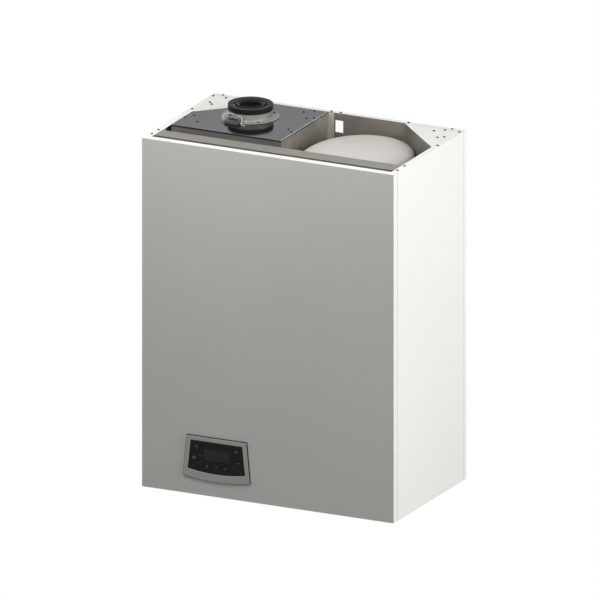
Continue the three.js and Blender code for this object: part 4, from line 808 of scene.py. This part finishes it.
KEY_MARKS = {
    "key_hot_water": ((-51.4, 119.7), [                                          # a tap
        [(-3.6, -1.2), (-3.6, 1.0), (0.6, 1.0), (2.0, 0.4), (2.6, -1.6)],
        [(-1.4, 1.0), (-1.4, 3.0)], [(-2.8, 3.0), (0.0, 3.0)], [(2.6, -2.6), (2.6, -3.2)],
    ]),
    "key_heating": ((-58, 92.4), [                                               # a warm house
        [(-4.0, 0.4), (0.0, 3.6), (4.0, 0.4)], [(-2.8, 0.6), (-2.8, -3.2), (2.8, -3.2), (2.8, 0.6)],
        [(-0.9, -2.2), (-0.9, 0.2)], [(0.9, -2.2), (0.9, 0.2)],
    ]),
    "key_plus": ((51.4, 119.7), [[(-3.2, 0), (3.2, 0)], [(0, -3.2), (0, 3.2)]]),
    "key_minus": ((58, 92.4), [[(-3.2, 0), (3.2, 0)]]),
    "key_comfort": ((-24.3, 74), [                                               # a drop
        [(0, 3.4), (-1.9, 0.2), (-2.3, -1.2), (-1.5, -2.6), (0, -3.1), (1.5, -2.6), (2.3, -1.2),
         (1.9, 0.2), (0, 3.4)],
    ]),
    "key_power": ((0, 73), [ring_line(2.9, 125, 415), [(0, 0.6), (0, 3.6)]]),
    "key_menu": ((24.3, 74), [                                                   # a spanner
        [(-2.8, -2.6), (1.0, 1.2)], ring_line(1.7, -20, 250, 12, 2.1, 2.1),
    ]),
}
PANEL_MARKS = (
    ("dial_arc", (-41.3, 103), [ring_line(5.2, 200, 320, 8)], 0.7, "icon_ink"),
    ("field_line_left", (0, 0), [[(-36, 86.5), (-66, 69)]], 0.5, "faint_ink"),
    ("field_line_right", (0, 0), [[(42, 82.5), (67, 68)]], 0.5, "faint_ink"),
)
for key_name, (key_place, marks) in KEY_MARKS.items():
    ink(key_name + "_mark", body_of_node(key_name), key_place, marks, KEY_MARK_WIDTH, KEY_FACE,
        "icon_ink")
for mark_name, mark_place, marks, mark_width, mark_slot in PANEL_MARKS:
    ink(mark_name, ROOT, mark_place, marks, mark_width, FASCIA_FACE, mark_slot)


def bezel_shade_skirt():
    """Painted shade: a black ring between the bezel's rim and the cut-out of the front panel, dark
    where the gap round the bezel lies in shadow.
    """
    top_half, bottom_half, top, bottom, sag = 78.2, 87.3, 145.0, 46.0, 8.0
    outward, inward = 0.3, -0.6
    front, back = BEZEL_LOW.y + 1.3 * MM, CASE_FRONT - 0.2 * MM
    steps = 24
    shares = [i / steps for i in range(steps + 1)]
    lower = [(-bottom_half + 2 * bottom_half * t, bottom - 4 * sag * t * (1 - t)) for t in shares]
    outline = [(-top_half, top)] + lower + [(top_half, top)]
    centre_z = (top + bottom) / 2
    bm = bmesh.new()
    loops = [
        [bm.verts.new((PANEL_X + (x + math.copysign(grow, x)) * MM, y,
                       local(z + (grow if z > centre_z else -grow))))
         for x, z in outline]
        for grow, y in ((outward, front), (outward, back), (inward, back), (inward, front))
    ]
    count = len(outline)
    for a, b in zip(loops, loops[1:] + loops[:1]):
        for i in range(count):
            j = (i + 1) % count
            bm.faces.new((a[i], a[j], b[j], b[i]))
    made_piece("bezel_shade_skirt", mesh_of(bm, "bezel_shade_skirt"), "black_rubber")


bezel_shade_skirt()

# ---- light and surroundings ----------------------------------------------------------------

SOFT_LIGHT = 0.19                     # the white world's share in diffuse light
SEEN_LIGHT = 1.0                      # and for rays that the camera sees or sees reflected
FLOOR_HALF, FLOOR_HEIGHT = 12, -2.2
LAMPS = (                             # name, place, aim, (width, height), watts
    ("key", (-0.3, -1.35, 1.65), (0, -0.25, 0.15), (1.3, 0.8), 28),
    ("side", (2.4, -0.5, 0.9), (0.3, -0.2, 0), (1.6, 2.0), 50),
)


def area_lamp(name, place, aim, size, power):
    """A rectangular lamp that looks from its place to its aim."""
    data = bpy.data.lights.new(name, "AREA")
    data.shape = "RECTANGLE"
    data.size, data.size_y = size
    data.energy = power
    lamp = bpy.data.objects.new(name, data)
    lamp.location = place
    lamp.rotation_mode = "QUATERNION"
    lamp.rotation_quaternion = (Vector(aim) - Vector(place)).to_track_quat("-Z", "Y")
    bpy.context.scene.collection.objects.link(lamp)


def seen_ray(tree):
    """1 for a ray of the camera, straight, reflected or through a clear piece; otherwise 0."""
    path = node(tree, "ShaderNodeLightPath")
    either = node(tree, "ShaderNodeMath", operation="MAXIMUM")
    any_of = node(tree, "ShaderNodeMath", operation="MAXIMUM")
    tree.links.new(path.outputs["Is Camera Ray"], either.inputs[0])
    tree.links.new(path.outputs["Is Glossy Ray"], either.inputs[1])
    tree.links.new(either.outputs["Value"], any_of.inputs[0])
    tree.links.new(path.outputs["Is Transmission Ray"], any_of.inputs[1])
    return any_of.outputs["Value"]


def pale_world():
    """Soft white light from all round, and plain white behind the object."""
    world = bpy.data.worlds.new("studio")
    bpy.context.scene.world = world
    world.use_nodes = True
    tree = world.node_tree
    back = tree.nodes["Background"]
    back.inputs["Color"].default_value = (1, 1, 1, 1)
    strength = node(tree, "ShaderNodeMapRange")
    strength.inputs["To Min"].default_value = SOFT_LIGHT
    strength.inputs["To Max"].default_value = SEEN_LIGHT
    tree.links.new(seen_ray(tree), strength.inputs["Value"])
    tree.links.new(strength.outputs["Result"], back.inputs["Strength"])


def pale_floor():
    """A white floor far below, plain white to the camera, that sends soft light up."""
    bm = bmesh.new()
    bmesh.ops.create_grid(bm, x_segments=1, y_segments=1, size=FLOOR_HALF)
    floor = bpy.data.objects.new("floor", mesh_of(bm, "floor"))
    floor.location.z = FLOOR_HEIGHT
    bpy.context.scene.collection.objects.link(floor)
    white = surface("floor_white", (250, 250, 250), (248, 248, 248), rough=0.8, patch=0.5,
                    grain=30, relief=0.01)
    floor.data.materials.append(white)
    tree = white.node_tree
    glow = node(tree, "ShaderNodeEmission")
    mix = node(tree, "ShaderNodeMixShader")
    out = tree.nodes["Material Output"]
    tree.links.new(seen_ray(tree), mix.inputs["Fac"])
    tree.links.new(tree.nodes["Principled BSDF"].outputs["BSDF"], mix.inputs[1])
    tree.links.new(glow.outputs["Emission"], mix.inputs[2])
    tree.links.new(mix.outputs["Shader"], out.inputs["Surface"])


pale_world()
pale_floor()
for lamp_name, place, aim, size, power in LAMPS:
    area_lamp(lamp_name, place, aim, size, power)
bpy.context.scene.view_settings.view_transform = "Standard"
